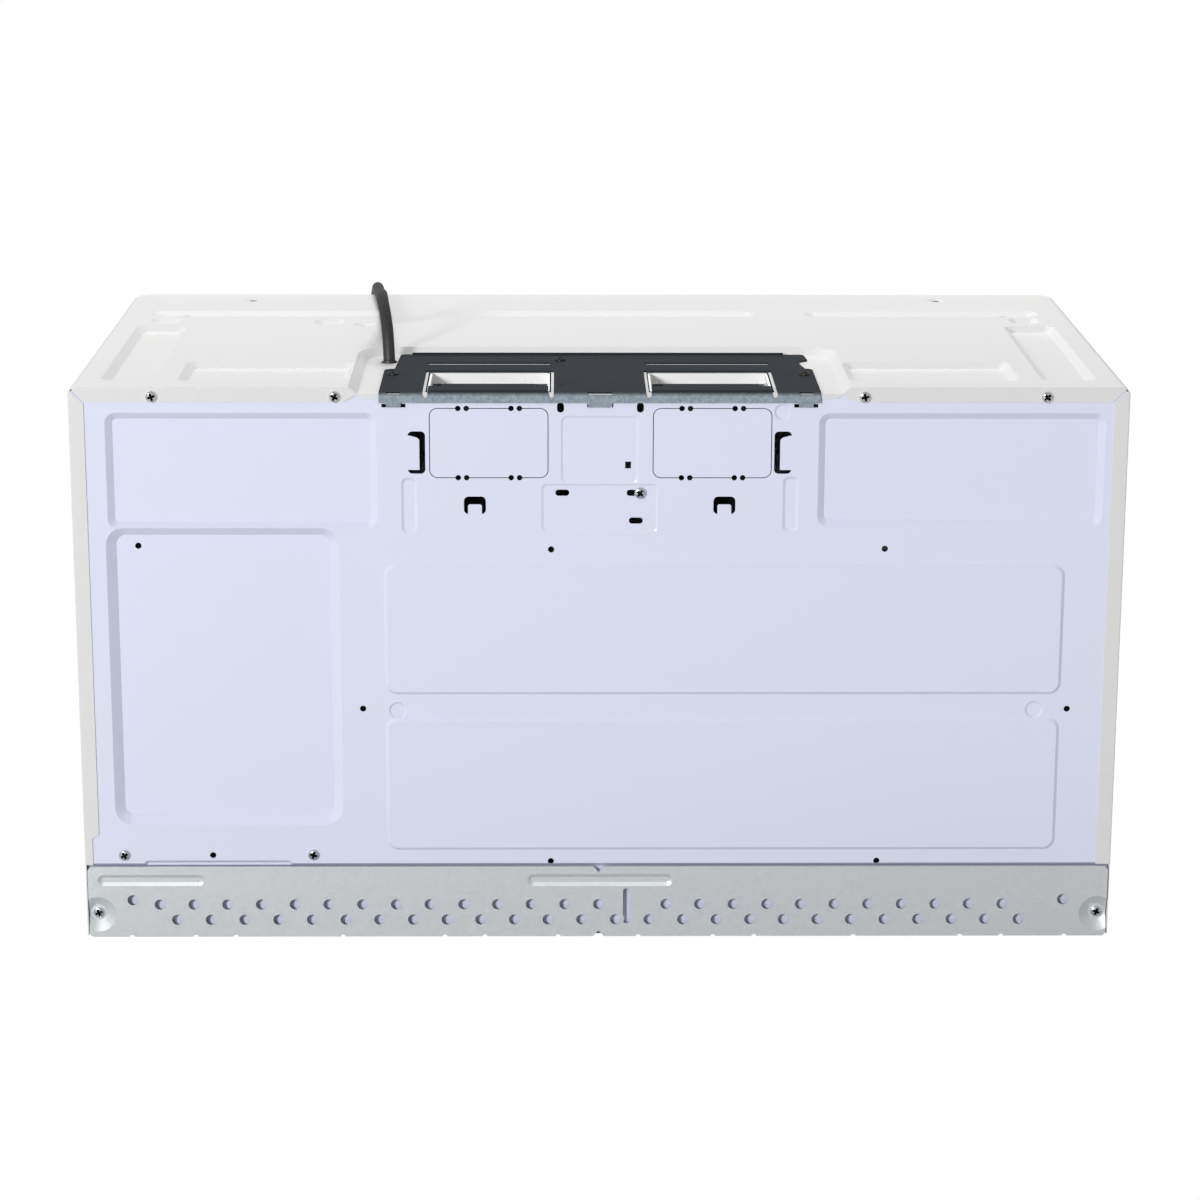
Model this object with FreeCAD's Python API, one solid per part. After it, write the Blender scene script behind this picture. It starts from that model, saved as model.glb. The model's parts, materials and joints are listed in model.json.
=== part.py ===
"""Over-the-range microwave with its wall plate, in millimetres.

+Z is up, the wall side is +Y, the door opens towards -Y, and +X is the control side.
Heights are measured from the base, and depths ("back") forwards from the rear flanges.
"""
import FreeCAD, Part
import math
import os

os.makedirs("parts", exist_ok=True)

# ---- overall sizes --------------------------------------------------------------------------
WIDTH = 759.0            # 29 7/8 in, the standard width
HEIGHT = 416.0
TOP_DEPTH = 385.0        # rear flange to the front edge of the top sheet
LIP = 18.0               # how far the vent grille stands in front of the top sheet
HANDLE_REACH = 40.0      # the handle in front of the door
HALF = WIDTH / 2
FRONT = TOP_DEPTH + LIP
SHEET = 0.8              # painted steel of the wrap and the rear panel
PLATE = 1.2              # galvanised steel of the wall plate and the exhaust plate
PLATE_PROUD = 0.4        # the wall plate in front of the rear flanges
HEAD_H = 2.2             # pan head of the case screws
HEAD_R = 4.2
SHANK_R = 1.9
HOLE_GAP = 0.15          # a screw in its clearance hole, on the radius
SCREW_HOLE_R = SHANK_R + HOLE_GAP
RUN_GAP = 0.05           # a shaft in its bearing, on the radius
LOOSE = 0.3              # between curved pieces that turn or slide

# ---- outer wrap -------------------------------------------------------------------------------
BEND_R = 6.0             # long bends between the top and the sides
EDGE_R = 1.0             # rear bends
TOP_FLANGE = 11.0
SIDE_FLANGE = 11.0
LOW_FLANGE = 6.0         # side flange of the control side, below LOW_FLANGE_Z
LOW_FLANGE_Z = 77.0
MITRE = 1.6
SIDE_DEPTH = TOP_DEPTH - 23.0    # the sides end behind the door
RECESS_HALF = 180.0      # recess of the exhaust plate
RECESS_BACK = 158.0
RECESS_DEEP = 5.0
EMBOSS_DEEP = 4.0
GROOVE_DEEP = 3.0
DIMPLE_DEEP = 2.0
GROOVE_BACK = TOP_DEPTH - 81.5
GRILLE_SCREW_X = HALF - 100.0
GRILLE_SCREW_BACK = TOP_DEPTH - 17.0
CABINET_BOLT_X = HALF - 52.5
CABINET_BOLT_BACK = GROOVE_BACK + 1.5
CABINET_HOLE_R = 4.0
FLANGE_SCREW_X = (HALF - 59.5, 189.5)
TRANSPORT_HOLE_BACK = TOP_DEPTH - 129.0

# ---- wall plate ---------------------------------------------------------------------------------
PLATE_HALF = HALF - 1.5
PLATE_Z0 = 0.3
PLATE_TOP = 55.0
HOLE_PITCH = 25.0
HOLE_R = 4.1
UPPER_FIRST = HOLE_PITCH * math.floor((PLATE_HALF - 50.0) / HOLE_PITCH)
UPPER_Z = 25.5
LOWER_FIRST = UPPER_FIRST - HOLE_PITCH / 2
LOWER_Z = 13.5
END_HOLE_X = PLATE_HALF - 33.0
END_HOLE_Z = 29.0
DISH_X = PLATE_HALF - 7.0
DISH_Z = 18.0
DISH_R = 13.5

# ---- rear panel -----------------------------------------------------------------------------------
JOGGLE = 5.0             # lower strip of the rear panel, set in behind the wall plate
JOGGLE_Z = 57.5
UPPER_PANEL_DEEP = 4.0
LOWER_PANEL_DEEP = 6.0
CAVITY_PANEL_RISE = 1.8
PANEL_MID = (HEIGHT - 65.6) / 2  # between the two raised fields
KNOCK_X = (79.6, -80.7)  # centres of the two rear duct knock-outs
KNOCK_W = 85.5
KNOCK_H = 51.3
KNOCK_DROP = 41.1
KNOCK_SLIT = 0.6
REAR_SCREWS = ((HALF - 29.3, 64.0), (HALF - 168.9, 64.2), (-29.0, HEIGHT - 77.7))  # the last holds the blower

# ---- exhaust plate ----------------------------------------------------------------------------
EXHAUST_HALF = 158.0
EXHAUST_DEPTH = 147.0
EXHAUST_FLANGE = 11.4    # drop of its rear flange below the top
DUCT_X = 80.0            # centres of the two outlets
DUCT_W = 94.0
DUCT_BACK = 82.5
EXHAUST_SCREWS = ((150.8, 66.5), (-150.8, 67.0), (28.3, 123.0))
HOOK_W = 10.3
HOOK_X = 147.5

# ---- oven cavity and front frame ------------------------------------------------------------------
CAVITY_X0, CAVITY_X1 = -HALF + 29.5, HALF - 229.5
CAVITY_Z0, CAVITY_Z1 = 62.0, HEIGHT - 126.0
CAVITY_BACK = 14.0
CAVITY_WALL = 1.0
FRAME_T = 1.2
FRAME_TOP = HEIGHT - 59.5
BASE_T = 1.0
BASE_H = 12.0
TRACK_R = 118.0          # round recess of the floor, in which the rollers run
TRACK_DEEP = 3.0
TABLE_BACK = (CAVITY_BACK + SIDE_DEPTH) / 2
TABLE_R = TABLE_BACK - CAVITY_BACK - 12.0
RING_R = 95.0
ROLLER_R = 7.0
ROLLER_W = 7.0

# ---- door and controls -----------------------------------------------------------------------
DOOR_X0, DOOR_X1 = -HALF + 2.5, HALF - 201.5
DOOR_Z0, DOOR_Z1 = 6.5, HEIGHT - 62.5
DOOR_GAP = 1.0           # door to front frame
HINGE_X = DOOR_X0 + 7.5
HINGE_BACK = FRONT - 20.0
PIN_R = 3.0
LATCH_X = DOOR_X1 - 14.5
LATCH_Z = (DOOR_Z0 + 103.5, DOOR_Z1 - 83.5)
HANDLE_X = DOOR_X1 - 38.0
HANDLE_W = 24.0
HANDLE_Z0, HANDLE_Z1 = DOOR_Z0 + 45.5, DOOR_Z1 - 45.5
HANDLE_FEET = (HANDLE_Z0 + 14.0, HANDLE_Z1 - 14.0)
GRILLE_Z0 = HEIGHT - 58.5
GRILLE_WALL = 2.5

# ---- blower and cooling fan ---------------------------------------------------------------------
BLOWER_BACK = 92.0       # blower shaft
BLOWER_Z = HEIGHT - 68.0
WHEEL_R = 47.0
WHEEL_W = 78.0
BLADES = 26
SHAFT_R = 4.0
FAN_X, FAN_Z = HALF - 107.5, HEIGHT - 100.0
FAN_R = 46.0

# ---- power cord ---------------------------------------------------------------------------------
CORD_D = 8.8
BUSH_R = 5.7             # neck of the cord's bush, in the top sheet
BUSH_RISE = 1.0          # the bush's mouth above the sheet
# Route of the cord: x, back and height of each point.
CORD_ROUTE = [
    (156.2, 122.0, 412.0), (156.9, 127.4, 428.6), (159.4, 139.9, 443.5), (162.6, 157.3, 452.4),
    (164.3, 176.8, 453.8), (164.6, 195.3, 447.8), (164.3, 213.1, 435.8), (164.4, 236.9, 425.4),
    (166.2, 268.7, 421.2), (169.0, 303.0, 420.9), (172.6, 340.0, 421.0), (176.4, 378.0, 421.2),
    (179.5, 407.5, 421.3), (181.6, 426.9, 413.3), (183.6, 441.8, 398.5), (185.8, 449.9, 379.1),
    (188.0, 450.2, 344.0), (190.2, 446.5, 286.0), (190.4, 440.6, 210.0), (189.2, 435.6, 136.0),
    (190.0, 433.6, 80.0), (191.5, 433.5, 42.0), (203.6, 433.0, 18.6), (226.5, 431.0, 5.0),
    (258.0, 427.0, 4.9), (291.0, 424.5, 5.2), (316.0, 425.0, 7.8),
]

# ---- worked out from the sizes ---------------------------------------------------------------
REAR = (FRONT + HANDLE_REACH - HEAD_H) / 2
INNER_HALF = HALF - SHEET
FLOOR = HEIGHT - RECESS_DEEP
TABLE_X = (CAVITY_X0 + CAVITY_X1) / 2
FRAME_FACE = SIDE_DEPTH + FRAME_T
TRACK_Z = CAVITY_Z0 - TRACK_DEEP
SOURCE_Z = CAVITY_Z1 - 46.0      # the magnetron's antenna
X_AXIS = FreeCAD.Vector(1, 0, 0)
Y_AXIS = FreeCAD.Vector(0, 1, 0)
Z_AXIS = FreeCAD.Vector(0, 0, 1)


def point(x, back, z):
    """A point from its depth in front of the rear flanges."""
    return FreeCAD.Vector(x, REAR - back, z)


def block(x0, x1, back0, back1, z0, z1):
    """A box between two depths, the smaller one nearer the wall."""
    return Part.makeBox(x1 - x0, back1 - back0, z1 - z0, point(x0, back1, z0))


def rod(x, back, z, axis, radius, length):
    """A cylinder from a point, along an axis."""
    return Part.makeCylinder(radius, length, point(x, back, z), axis)


def fused(shapes):
    """One solid from pieces that overlap or share faces."""
    return shapes[0].multiFuse(shapes[1:]).removeSplitter() if len(shapes) > 1 else shapes[0]


def rounded_rectangle(width, depth, radius, z):
    """A closed wire about the Z axis with four round corners."""
    a, b, r = width / 2, depth / 2, radius
    edges = []
    for cx, cy, start in ((a - r, b - r, 0), (r - a, b - r, 90), (r - a, r - b, 180), (a - r, r - b, 270)):
        arc = Part.ArcOfCircle(Part.Circle(FreeCAD.Vector(cx, cy, z), Z_AXIS, r),
                               math.radians(start), math.radians(start + 90))
        if edges:
            edges.append(Part.LineSegment(edges[-1].Vertexes[-1].Point, arc.StartPoint).toShape())
        edges.append(arc.toShape())
    edges.append(Part.LineSegment(edges[-1].Vertexes[-1].Point, edges[0].Vertexes[0].Point).toShape())
    return Part.Wire(edges)


def slab(width, depth, radius, height):
    """A plate with round corners, standing on z = 0 about the Z axis."""
    return Part.Face(rounded_rectangle(width, depth, radius, 0)).extrude(FreeCAD.Vector(0, 0, height))


def pocket(width, depth, radius, deep, run, above=3.0):
    """A pressed recess: its mouth at z = 0, its floor at -deep, its walls leaning out by run."""
    grow = 2 * run * above / deep
    floor = rounded_rectangle(width - 2 * run, depth - 2 * run, max(radius - run, 1.0), -deep)
    mouth = rounded_rectangle(width + grow, depth + grow, radius + grow / 2, above)
    return Part.makeLoft([floor, mouth], True, True)


def between(x0, x1, depth, radius, deep, run, side=1):
    """A pocket that reaches from one X to another, on either side of the middle."""
    found = pocket(x1 - x0, depth, radius, deep, run)
    found.translate(FreeCAD.Vector(side * (x0 + x1) / 2, 0, 0))
    return found


def dimple(mouth_r, floor_r, deep, above=3.0):
    """A round pressed recess with a leaning wall."""
    top_r = mouth_r + (mouth_r - floor_r) * above / deep
    return Part.makeCone(floor_r, top_r, deep + above, FreeCAD.Vector(0, 0, -deep), Z_AXIS)


def on_top(shape, x, back, z=HEIGHT):
    """Moves a recess from the origin to a place on the top sheet."""
    shape.translate(point(x, back, z))
    return shape


def on_rear(shape, x, z, back):
    """Turns a recess so that it opens towards the wall, and moves it there."""
    shape.rotate(FreeCAD.Vector(0, 0, 0), X_AXIS, -90)
    shape.translate(point(x, back, z))
    return shape


def drilled(body, cutters):
    """The body with every cutter taken out."""
    return body.cut(Part.makeCompound(cutters)) if cutters else body


def pan_screw(place, axis, shank, head_r=HEAD_R, head_h=HEAD_H):
    """A pan head screw: the place is under the head, and the axis points out of the head."""
    rim = FreeCAD.Vector(head_r, 0, head_h * 0.35)
    crown = FreeCAD.Vector(head_r * 0.45, 0, head_h)
    middle = FreeCAD.Vector(head_r * 0.86, 0, head_h * 0.8)
    outline = [
        Part.LineSegment(FreeCAD.Vector(0, 0, 0), FreeCAD.Vector(head_r, 0, 0)).toShape(),
        Part.LineSegment(FreeCAD.Vector(head_r, 0, 0), rim).toShape(),
        Part.Arc(rim, middle, crown).toShape(),
        Part.LineSegment(crown, FreeCAD.Vector(0, 0, head_h)).toShape(),
        Part.LineSegment(FreeCAD.Vector(0, 0, head_h), FreeCAD.Vector(0, 0, 0)).toShape(),
    ]
    head = Part.Face(Part.Wire(outline)).revolve(FreeCAD.Vector(0, 0, 0), Z_AXIS, 360)
    body = head.fuse(Part.makeCylinder(SHANK_R, shank, FreeCAD.Vector(0, 0, -shank), Z_AXIS))
    body.Placement = FreeCAD.Placement(place, FreeCAD.Rotation(Z_AXIS, axis))
    return body.removeSplitter()


def export(name, shape):
    """Writes one node and says what it holds."""
    solids = shape.Solids
    shape = solids[0] if len(solids) == 1 else Part.makeCompound(solids)
    shape.exportStep("parts/" + name + ".step")
    print(name, len(solids), round(sum(s.Volume for s in solids)), shape.isValid())


# ---- outer wrap: top and sides in one bent sheet ------------------------------------------------

def top_recesses():
    """Every recess that is pressed into the top sheet."""
    found = [on_top(pocket(2 * RECESS_HALF, 2 * RECESS_BACK, 28.0, RECESS_DEEP, 7.0), 0, 0)]
    for side in (1, -1):
        found.append(on_top(between(RECESS_HALF, HALF - 75.5, 74.0, 9.0, EMBOSS_DEEP, 6.0, side), 0, 60.0))
        groove = between(RECESS_HALF - 13, HALF - 24.5, 25.0, 10.0, GROOVE_DEEP, 8.0, side)
        found.append(on_top(groove, 0, GROOVE_BACK))
        long_pocket = pocket(40.0, TOP_DEPTH - 161, 9.0, EMBOSS_DEEP, 6.0)
        found.append(on_top(long_pocket, side * (HALF - 40), (TOP_DEPTH - 111) / 2))
        found.append(on_top(pocket(24.0, 24.0, 7.0, GROOVE_DEEP, 5.0), side * (HALF - 40), TOP_DEPTH - 111))
        found.append(on_top(dimple(7.0, 4.0, DIMPLE_DEEP), side * GRILLE_SCREW_X, GRILLE_SCREW_BACK))
    found.append(on_top(pocket(254.0, 25.0, 10.0, GROOVE_DEEP, 8.0), 0, GROOVE_BACK))
    found.append(on_top(pocket(24.0, 24.0, 7.0, GROOVE_DEEP, 5.0), 210.0, TOP_DEPTH - 118))
    found.append(on_top(dimple(9.0, 5.5, DIMPLE_DEEP), 182.0, TRANSPORT_HOLE_BACK))
    return found


def wrap_block(inset):
    """The space that the wrap goes round, with its long bends, inset by a sheet for its inner face."""
    grow = 20.0 if inset else 0.0
    half = HALF - inset
    body = block(-half, half, inset, TOP_DEPTH + grow, -grow, HEIGHT - inset)
    long_bends = [e for e in body.Edges if abs(e.CenterOfMass.z - (HEIGHT - inset)) < 0.01
                  and abs(abs(e.CenterOfMass.x) - half) < 0.01]
    body = body.makeFillet(BEND_R - inset, long_bends)
    if not inset:
        rear = [e for e in body.Edges
                if abs(e.BoundBox.YMin - REAR) < 0.01 and abs(e.BoundBox.YMax - REAR) < 0.01
                and e.CenterOfMass.z > 1.0]
        body = body.makeFillet(EDGE_R, rear)
    return body


def rear_opening():
    """What the rear wall of the wrap leaves open inside its flanges."""
    half = HALF - SIDE_FLANGE
    low = HALF - LOW_FLANGE
    top = HEIGHT - TOP_FLANGE
    lobe = FLOOR - 3.5
    bend = FLOOR - 1.2
    right = [(half, LOW_FLANGE_Z + 3), (half, top), (182.5, top), (175.0, bend), (172.0, bend), (170.0, lobe)]
    left = [(-170.0, lobe), (-172.0, bend), (-175.0, bend), (-182.5, top), (-half, top), (-half, -5.0)]
    outline = [(low, -5.0), (low, LOW_FLANGE_Z)] + right + left
    corners = [point(x, -1.0, z) for x, z in outline]
    face = Part.Face(Part.makePolygon(corners + corners[:1]))
    return face.extrude(FreeCAD.Vector(0, -SHEET - 1.0 - 0.2, 0))


def outer_wrap():
    recesses = top_recesses()
    outside = drilled(wrap_block(0), recesses)
    moved = []
    for recess in recesses:
        copy = recess.copy()
        copy.translate(FreeCAD.Vector(0, 0, -SHEET))
        moved.append(copy)
    sheet = outside.cut(drilled(wrap_block(SHEET), moved))
    cutters = [rear_opening(),
               block(-HALF - 1, HALF + 1, SIDE_DEPTH, TOP_DEPTH + 1, -1, GRILLE_Z0 - 1.0),
               block(-HALF - 1, HALF + 1, -1, SIDE_DEPTH + 1, -1, BASE_T),
               block(-HALF - 1, HALF + 1, -1, PLATE_PROUD + 1.2, -1, PLATE_TOP + 1.5)]
    for side in (1, -1):
        slot = Part.makeBox(2 * SIDE_FLANGE, 4 * SHEET, MITRE)
        slot.translate(FreeCAD.Vector(-SIDE_FLANGE * 2, -2 * SHEET, -MITRE / 2))
        slot.rotate(FreeCAD.Vector(0, 0, 0), Y_AXIS, -45)
        if side < 0:
            slot = slot.mirror(FreeCAD.Vector(0, 0, 0), X_AXIS)
        slot.translate(point(side * (HALF - 1.5), 0, HEIGHT - 1.5))
        cutters.append(slot)
        x = side * DUCT_X
        half = DUCT_W / 2 - 2
        cutters.append(block(x - half, x + half, 6.0, DUCT_BACK + 3.0, FLOOR - 4, FLOOR + 4))
        cutters.append(rod(side * CABINET_BOLT_X, CABINET_BOLT_BACK, HEIGHT - 8, Z_AXIS, CABINET_HOLE_R, 12))
        cutters.append(rod(side * GRILLE_SCREW_X, GRILLE_SCREW_BACK, HEIGHT - 8, Z_AXIS, SCREW_HOLE_R, 12))
        for x in FLANGE_SCREW_X:
            cutters.append(rod(side * x, 3, HEIGHT - 7.2, Y_AXIS, SCREW_HOLE_R, 6))
    cutters.append(rod(182.0, TRANSPORT_HOLE_BACK, HEIGHT - 8, Z_AXIS, CABINET_HOLE_R, 12))
    for x, back in EXHAUST_SCREWS:
        cutters.append(rod(x, back, FLOOR - 4, Z_AXIS, SCREW_HOLE_R, 8))
    x, back, z = CORD_ROUTE[0]
    cutters.append(rod(x, back - 0.5, FLOOR - 4, Z_AXIS, BUSH_R + 0.6, 8))
    return drilled(sheet, cutters)


# ---- rear panel: one pressed sheet between the flanges and the oven ------------------------------

def rear_relief(grow):
    """A solid whose wall side has the panel's pressed shape, larger in its plane by grow."""
    x0, x1 = -INNER_HALF + LOOSE - grow, INNER_HALF - LOOSE + grow
    body = block(x0, x1, SHEET, 40.0, 1.5 - grow, HEIGHT - SHEET - LOOSE + grow)
    if not grow:
        corners = [e for e in body.Edges if e.BoundBox.YLength > 1 and e.CenterOfMass.z > HEIGHT / 2]
        body = body.makeFillet(BEND_R, corners)
    low = 87.0
    tall = HEIGHT - 103.0 - low
    recesses = [
        on_rear(between(160.0, HALF - 25.5, 86.0, 8.0, UPPER_PANEL_DEEP, 5.0), 0, HEIGHT - 62.0, SHEET),
        on_rear(between(188.0, HALF - 23.5, tall, 14.0, LOWER_PANEL_DEEP, 7.0), 0, low + tall / 2, SHEET),
        on_rear(between(157.0, HALF - 16.5, 84.0, 8.0, UPPER_PANEL_DEEP, 5.0, -1), 0, HEIGHT - 61.0, SHEET),
        on_rear(between(HALF - 153.5, HALF - 43.5, 10.0, 3.5, 2.4, 2.4), 0, JOGGLE_Z - 2.8, SHEET),
        on_rear(pocket(11.5, 41.0, 4.5, 1.2, 2.0), 137.0, HEIGHT - 87.0, SHEET),
        on_rear(pocket(11.5, 41.0, 4.5, 1.2, 2.0), -137.5, HEIGHT - 86.0, SHEET),
        on_rear(pocket(56.0, 50.0, 5.0, 0.7, 1.6), 0, HEIGHT - 46.0, SHEET),
        on_rear(pocket(84.0, 36.0, 4.0, 0.7, 1.6), 0, HEIGHT - 88.8, SHEET),
    ]
    strip = [point(0, SHEET - 10, -20), point(0, SHEET - 10, JOGGLE_Z), point(0, SHEET, JOGGLE_Z),
             point(0, SHEET + JOGGLE, JOGGLE_Z - 4.0), point(0, SHEET + JOGGLE, -20)]
    lower = Part.Face(Part.makePolygon(strip + strip[:1])).extrude(FreeCAD.Vector(2 * WIDTH, 0, 0))
    lower.translate(FreeCAD.Vector(-WIDTH, 0, 0))
    dimples = ((147.0, PANEL_MID - 0.1, 6.6), (-HALF + 60.9, PANEL_MID + 0.4, 6.6),
               (-130.8, HEIGHT - 18.4, 6.0))
    for x, z, radius in dimples:
        recesses.append(on_rear(dimple(radius, radius - 1.4, 1.0), x, z, SHEET))
    body = drilled(body, recesses + [lower])
    raised = []
    wide = HALF + 114.5
    for z0, z1 in ((67.8, PANEL_MID - 5.4), (PANEL_MID + 12.2, HEIGHT - 130.6)):
        emboss = pocket(wide, z1 - z0, 9.0, CAVITY_PANEL_RISE, 2.4, CAVITY_PANEL_RISE)
        clip = Part.makeBox(2 * WIDTH, 2 * WIDTH, CAVITY_PANEL_RISE)
        clip.translate(FreeCAD.Vector(-WIDTH, -WIDTH, -CAVITY_PANEL_RISE))
        emboss = emboss.common(clip)
        emboss.rotate(FreeCAD.Vector(0, 0, 0), X_AXIS, 90)
        emboss.translate(point(156.3 - wide / 2, SHEET, (z0 + z1) / 2))
        raised.append(emboss)
    return fused([body] + raised)


def knock_out_slits():
    """The lanced outline of each duct knock-out, which four nibs between drilled pairs still hold."""
    cutters = []
    for cx in KNOCK_X:
        ring = slab(KNOCK_W, KNOCK_H, 6.0, 8.0).cut(
            slab(KNOCK_W - 2 * KNOCK_SLIT, KNOCK_H - 2 * KNOCK_SLIT, 6.0 - KNOCK_SLIT, 8.0))
        nibs = []
        for dx in (19.0, -19.0):
            nib = Part.makeBox(4.6, KNOCK_H + 10, 12, FreeCAD.Vector(dx - 2.3, -KNOCK_H / 2 - 5, -2))
            nibs.append(nib)
        ring = drilled(ring, nibs)
        cutters.append(on_rear(ring, cx, HEIGHT - KNOCK_DROP, 6.0))
        for dx in (22.0, 16.0, -16.0, -22.0):
            for dz in (KNOCK_H / 2 - KNOCK_SLIT / 2, -KNOCK_H / 2 + KNOCK_SLIT / 2):
                cutters.append(rod(cx + dx, 8, HEIGHT - KNOCK_DROP + dz, Y_AXIS, 2.0, 10))
    return cutters


def hook_slot(side):
    """A C-shaped slot with its bar towards the knock-out, round a tab whose upper corner slopes."""
    outline = [(-2.0, 12.7), (20.0, 12.7), (20.0, -12.7), (5.0, -12.4), (-0.4, -10.9), (-2.0, -9.2)]
    corners = [FreeCAD.Vector(side * x, y, -1) for x, y in outline]
    tab = Part.Face(Part.makePolygon(corners + corners[:1])).extrude(FreeCAD.Vector(0, 0, 11))
    return on_rear(slab(12.4, 31.0, 3.2, 9.0).cut(tab), side * 131.4, HEIGHT - 48.0, 8)


def rear_panel():
    relief = rear_relief(0)
    inner = rear_relief(5.0)
    inner.translate(FreeCAD.Vector(0, -SHEET, 0))
    sheet = relief.cut(inner)
    cutters = knock_out_slits()
    cutters.append(on_top(pocket(2 * RECESS_HALF, 2 * RECESS_BACK, 28.0, RECESS_DEEP, 7.0, 12.0), 0, 0,
                          HEIGHT - SHEET - LOOSE))
    for side in (1, -1):
        cutters.append(hook_slot(side))
        frame = slab(15.8, 13.0, 3.4, 9.0)
        tab = slab(10.0, 18.0, 1.6, 11.0)
        tab.translate(FreeCAD.Vector(0, 8.3, -1))
        cutters.append(on_rear(frame.cut(tab), side * 89.8, HEIGHT - 86.8, 8))
        cutters.append(block(side * HOOK_X - 8.6, side * HOOK_X + 8.6, -1, 8, HEIGHT - 15.0, HEIGHT - 12.4))
        cutters.append(block(side * 62.5 - 22, side * 62.5 - 14, -1, 12, 15, 19))
        cutters.append(block(side * 240 - 4, side * 240 + 4, -1, 12, 15, 19))
    cutters.append(block(-9.2, 9.2, -1, 8, HEIGHT - 15.0, HEIGHT - 12.4))
    for x, drop in ((26.9, 77.6), (-24.4, 77.7), (-26.1, 98.2)):
        hole = slab(10.0, 4.6, 2.2, 12)
        cutters.append(on_rear(hole, x, HEIGHT - drop, 10))
    cutters.append(block(-22.4, -18.2, -1, 8, HEIGHT - 59.7, HEIGHT - 54.7))
    for x in (28.2, -28.9):
        cutters.append(on_rear(slab(5.0, 7.2, 2.4, 12), x, HEIGHT - 15.1, 10))
    upper = HEIGHT - 119.0
    small_holes = ((HALF - 46.1, upper + 0.8), (35.0, upper - 0.5), (-206.3, upper), (172.5, PANEL_MID + 1.5),
                   (-HALF + 36.8, PANEL_MID + 1.1), (HALF - 94.6, 63.8), (35.4, 59.0), (-205.8, 59.0))
    for x, z in small_holes:
        cutters.append(rod(x, 10, z, Y_AXIS, 2.3, 14))
    for x, z in REAR_SCREWS:
        cutters.append(rod(x, 10, z, Y_AXIS, SCREW_HOLE_R, 14))
    for side in (1, -1):
        for x in FLANGE_SCREW_X:
            cutters.append(rod(side * x, 10, HEIGHT - 7.2, Y_AXIS, SCREW_HOLE_R, 14))
        cutters.append(rod(side * DISH_X, 14, DISH_Z, Y_AXIS, SCREW_HOLE_R, 16))
    return drilled(sheet, cutters)


# ---- wall plate ------------------------------------------------------------------------------------

def mounting_plate():
    height = PLATE_TOP - PLATE_Z0
    face_back = -PLATE_PROUD

    def relief(grow):
        body = slab(2 * PLATE_HALF + 2 * grow, height + 2 * grow, 4.0 + grow, 20.0)
        body = on_rear(body, 0, PLATE_Z0 + height / 2, face_back + 20.0)
        cuts = [on_rear(pocket(79.0, 8.6, 4.2, 1.5, 2.6), PLATE_HALF - 47, PLATE_TOP - 10.5, face_back),
                on_rear(pocket(107.5, 9.4, 4.6, 1.5, 2.8), -1.0, PLATE_TOP - 10.6, face_back)]
        deep = JOGGLE + SHEET + PLATE_PROUD - PLATE
        for side in (1, -1):
            cuts.append(on_rear(dimple(DISH_R, 6.0, deep), side * DISH_X, DISH_Z, face_back))
        return drilled(body, cuts)

    inner = relief(5.0)
    inner.translate(FreeCAD.Vector(0, -PLATE, 0))
    sheet = relief(0).cut(inner)
    cutters = []
    count = round(2 * LOWER_FIRST / HOLE_PITCH) + 1
    for k in range(count):
        x = UPPER_FIRST - HOLE_PITCH * k
        if abs(x + HOLE_PITCH) > 1.0:
            cutters.append(rod(x, 5, UPPER_Z, Y_AXIS, HOLE_R, 10))
        cutters.append(rod(LOWER_FIRST - HOLE_PITCH * k, 5, LOWER_Z, Y_AXIS, HOLE_R, 10))
    for side in (1, -1):
        cutters.append(rod(side * END_HOLE_X, 5, END_HOLE_Z, Y_AXIS, HOLE_R, 10))
        cutters.append(rod(side * DISH_X, 14, DISH_Z, Y_AXIS, SCREW_HOLE_R, 20))
    cutters.append(on_rear(slab(5.4, 27.4, 2.0, 12), -20.8, PLATE_TOP - 30.8, 8))
    for z, way in ((PLATE_TOP, -1), (PLATE_Z0, 1)):
        notch = [point(-4.5, 6, z - way * 0.5), point(4.5, 6, z - way * 0.5), point(0, 6, z + way * 4.5)]
        cutters.append(Part.Face(Part.makePolygon(notch + notch[:1])).extrude(FreeCAD.Vector(0, 12, 0)))
    feet = (346.5, 299.0, 269.3, 189.9, 114.1, 84.4, 30.1, -29.5, -85.3, -115.8, -189.6, -269.3, -299.9, -347.0)
    for x in feet:
        cutters.append(rod(x, 6, PLATE_Z0 - 0.4, Y_AXIS, 1.9, 12))
    return drilled(sheet, cutters)


# ---- exhaust plate: black on top, with a hooked rear flange -------------------------------------

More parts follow.
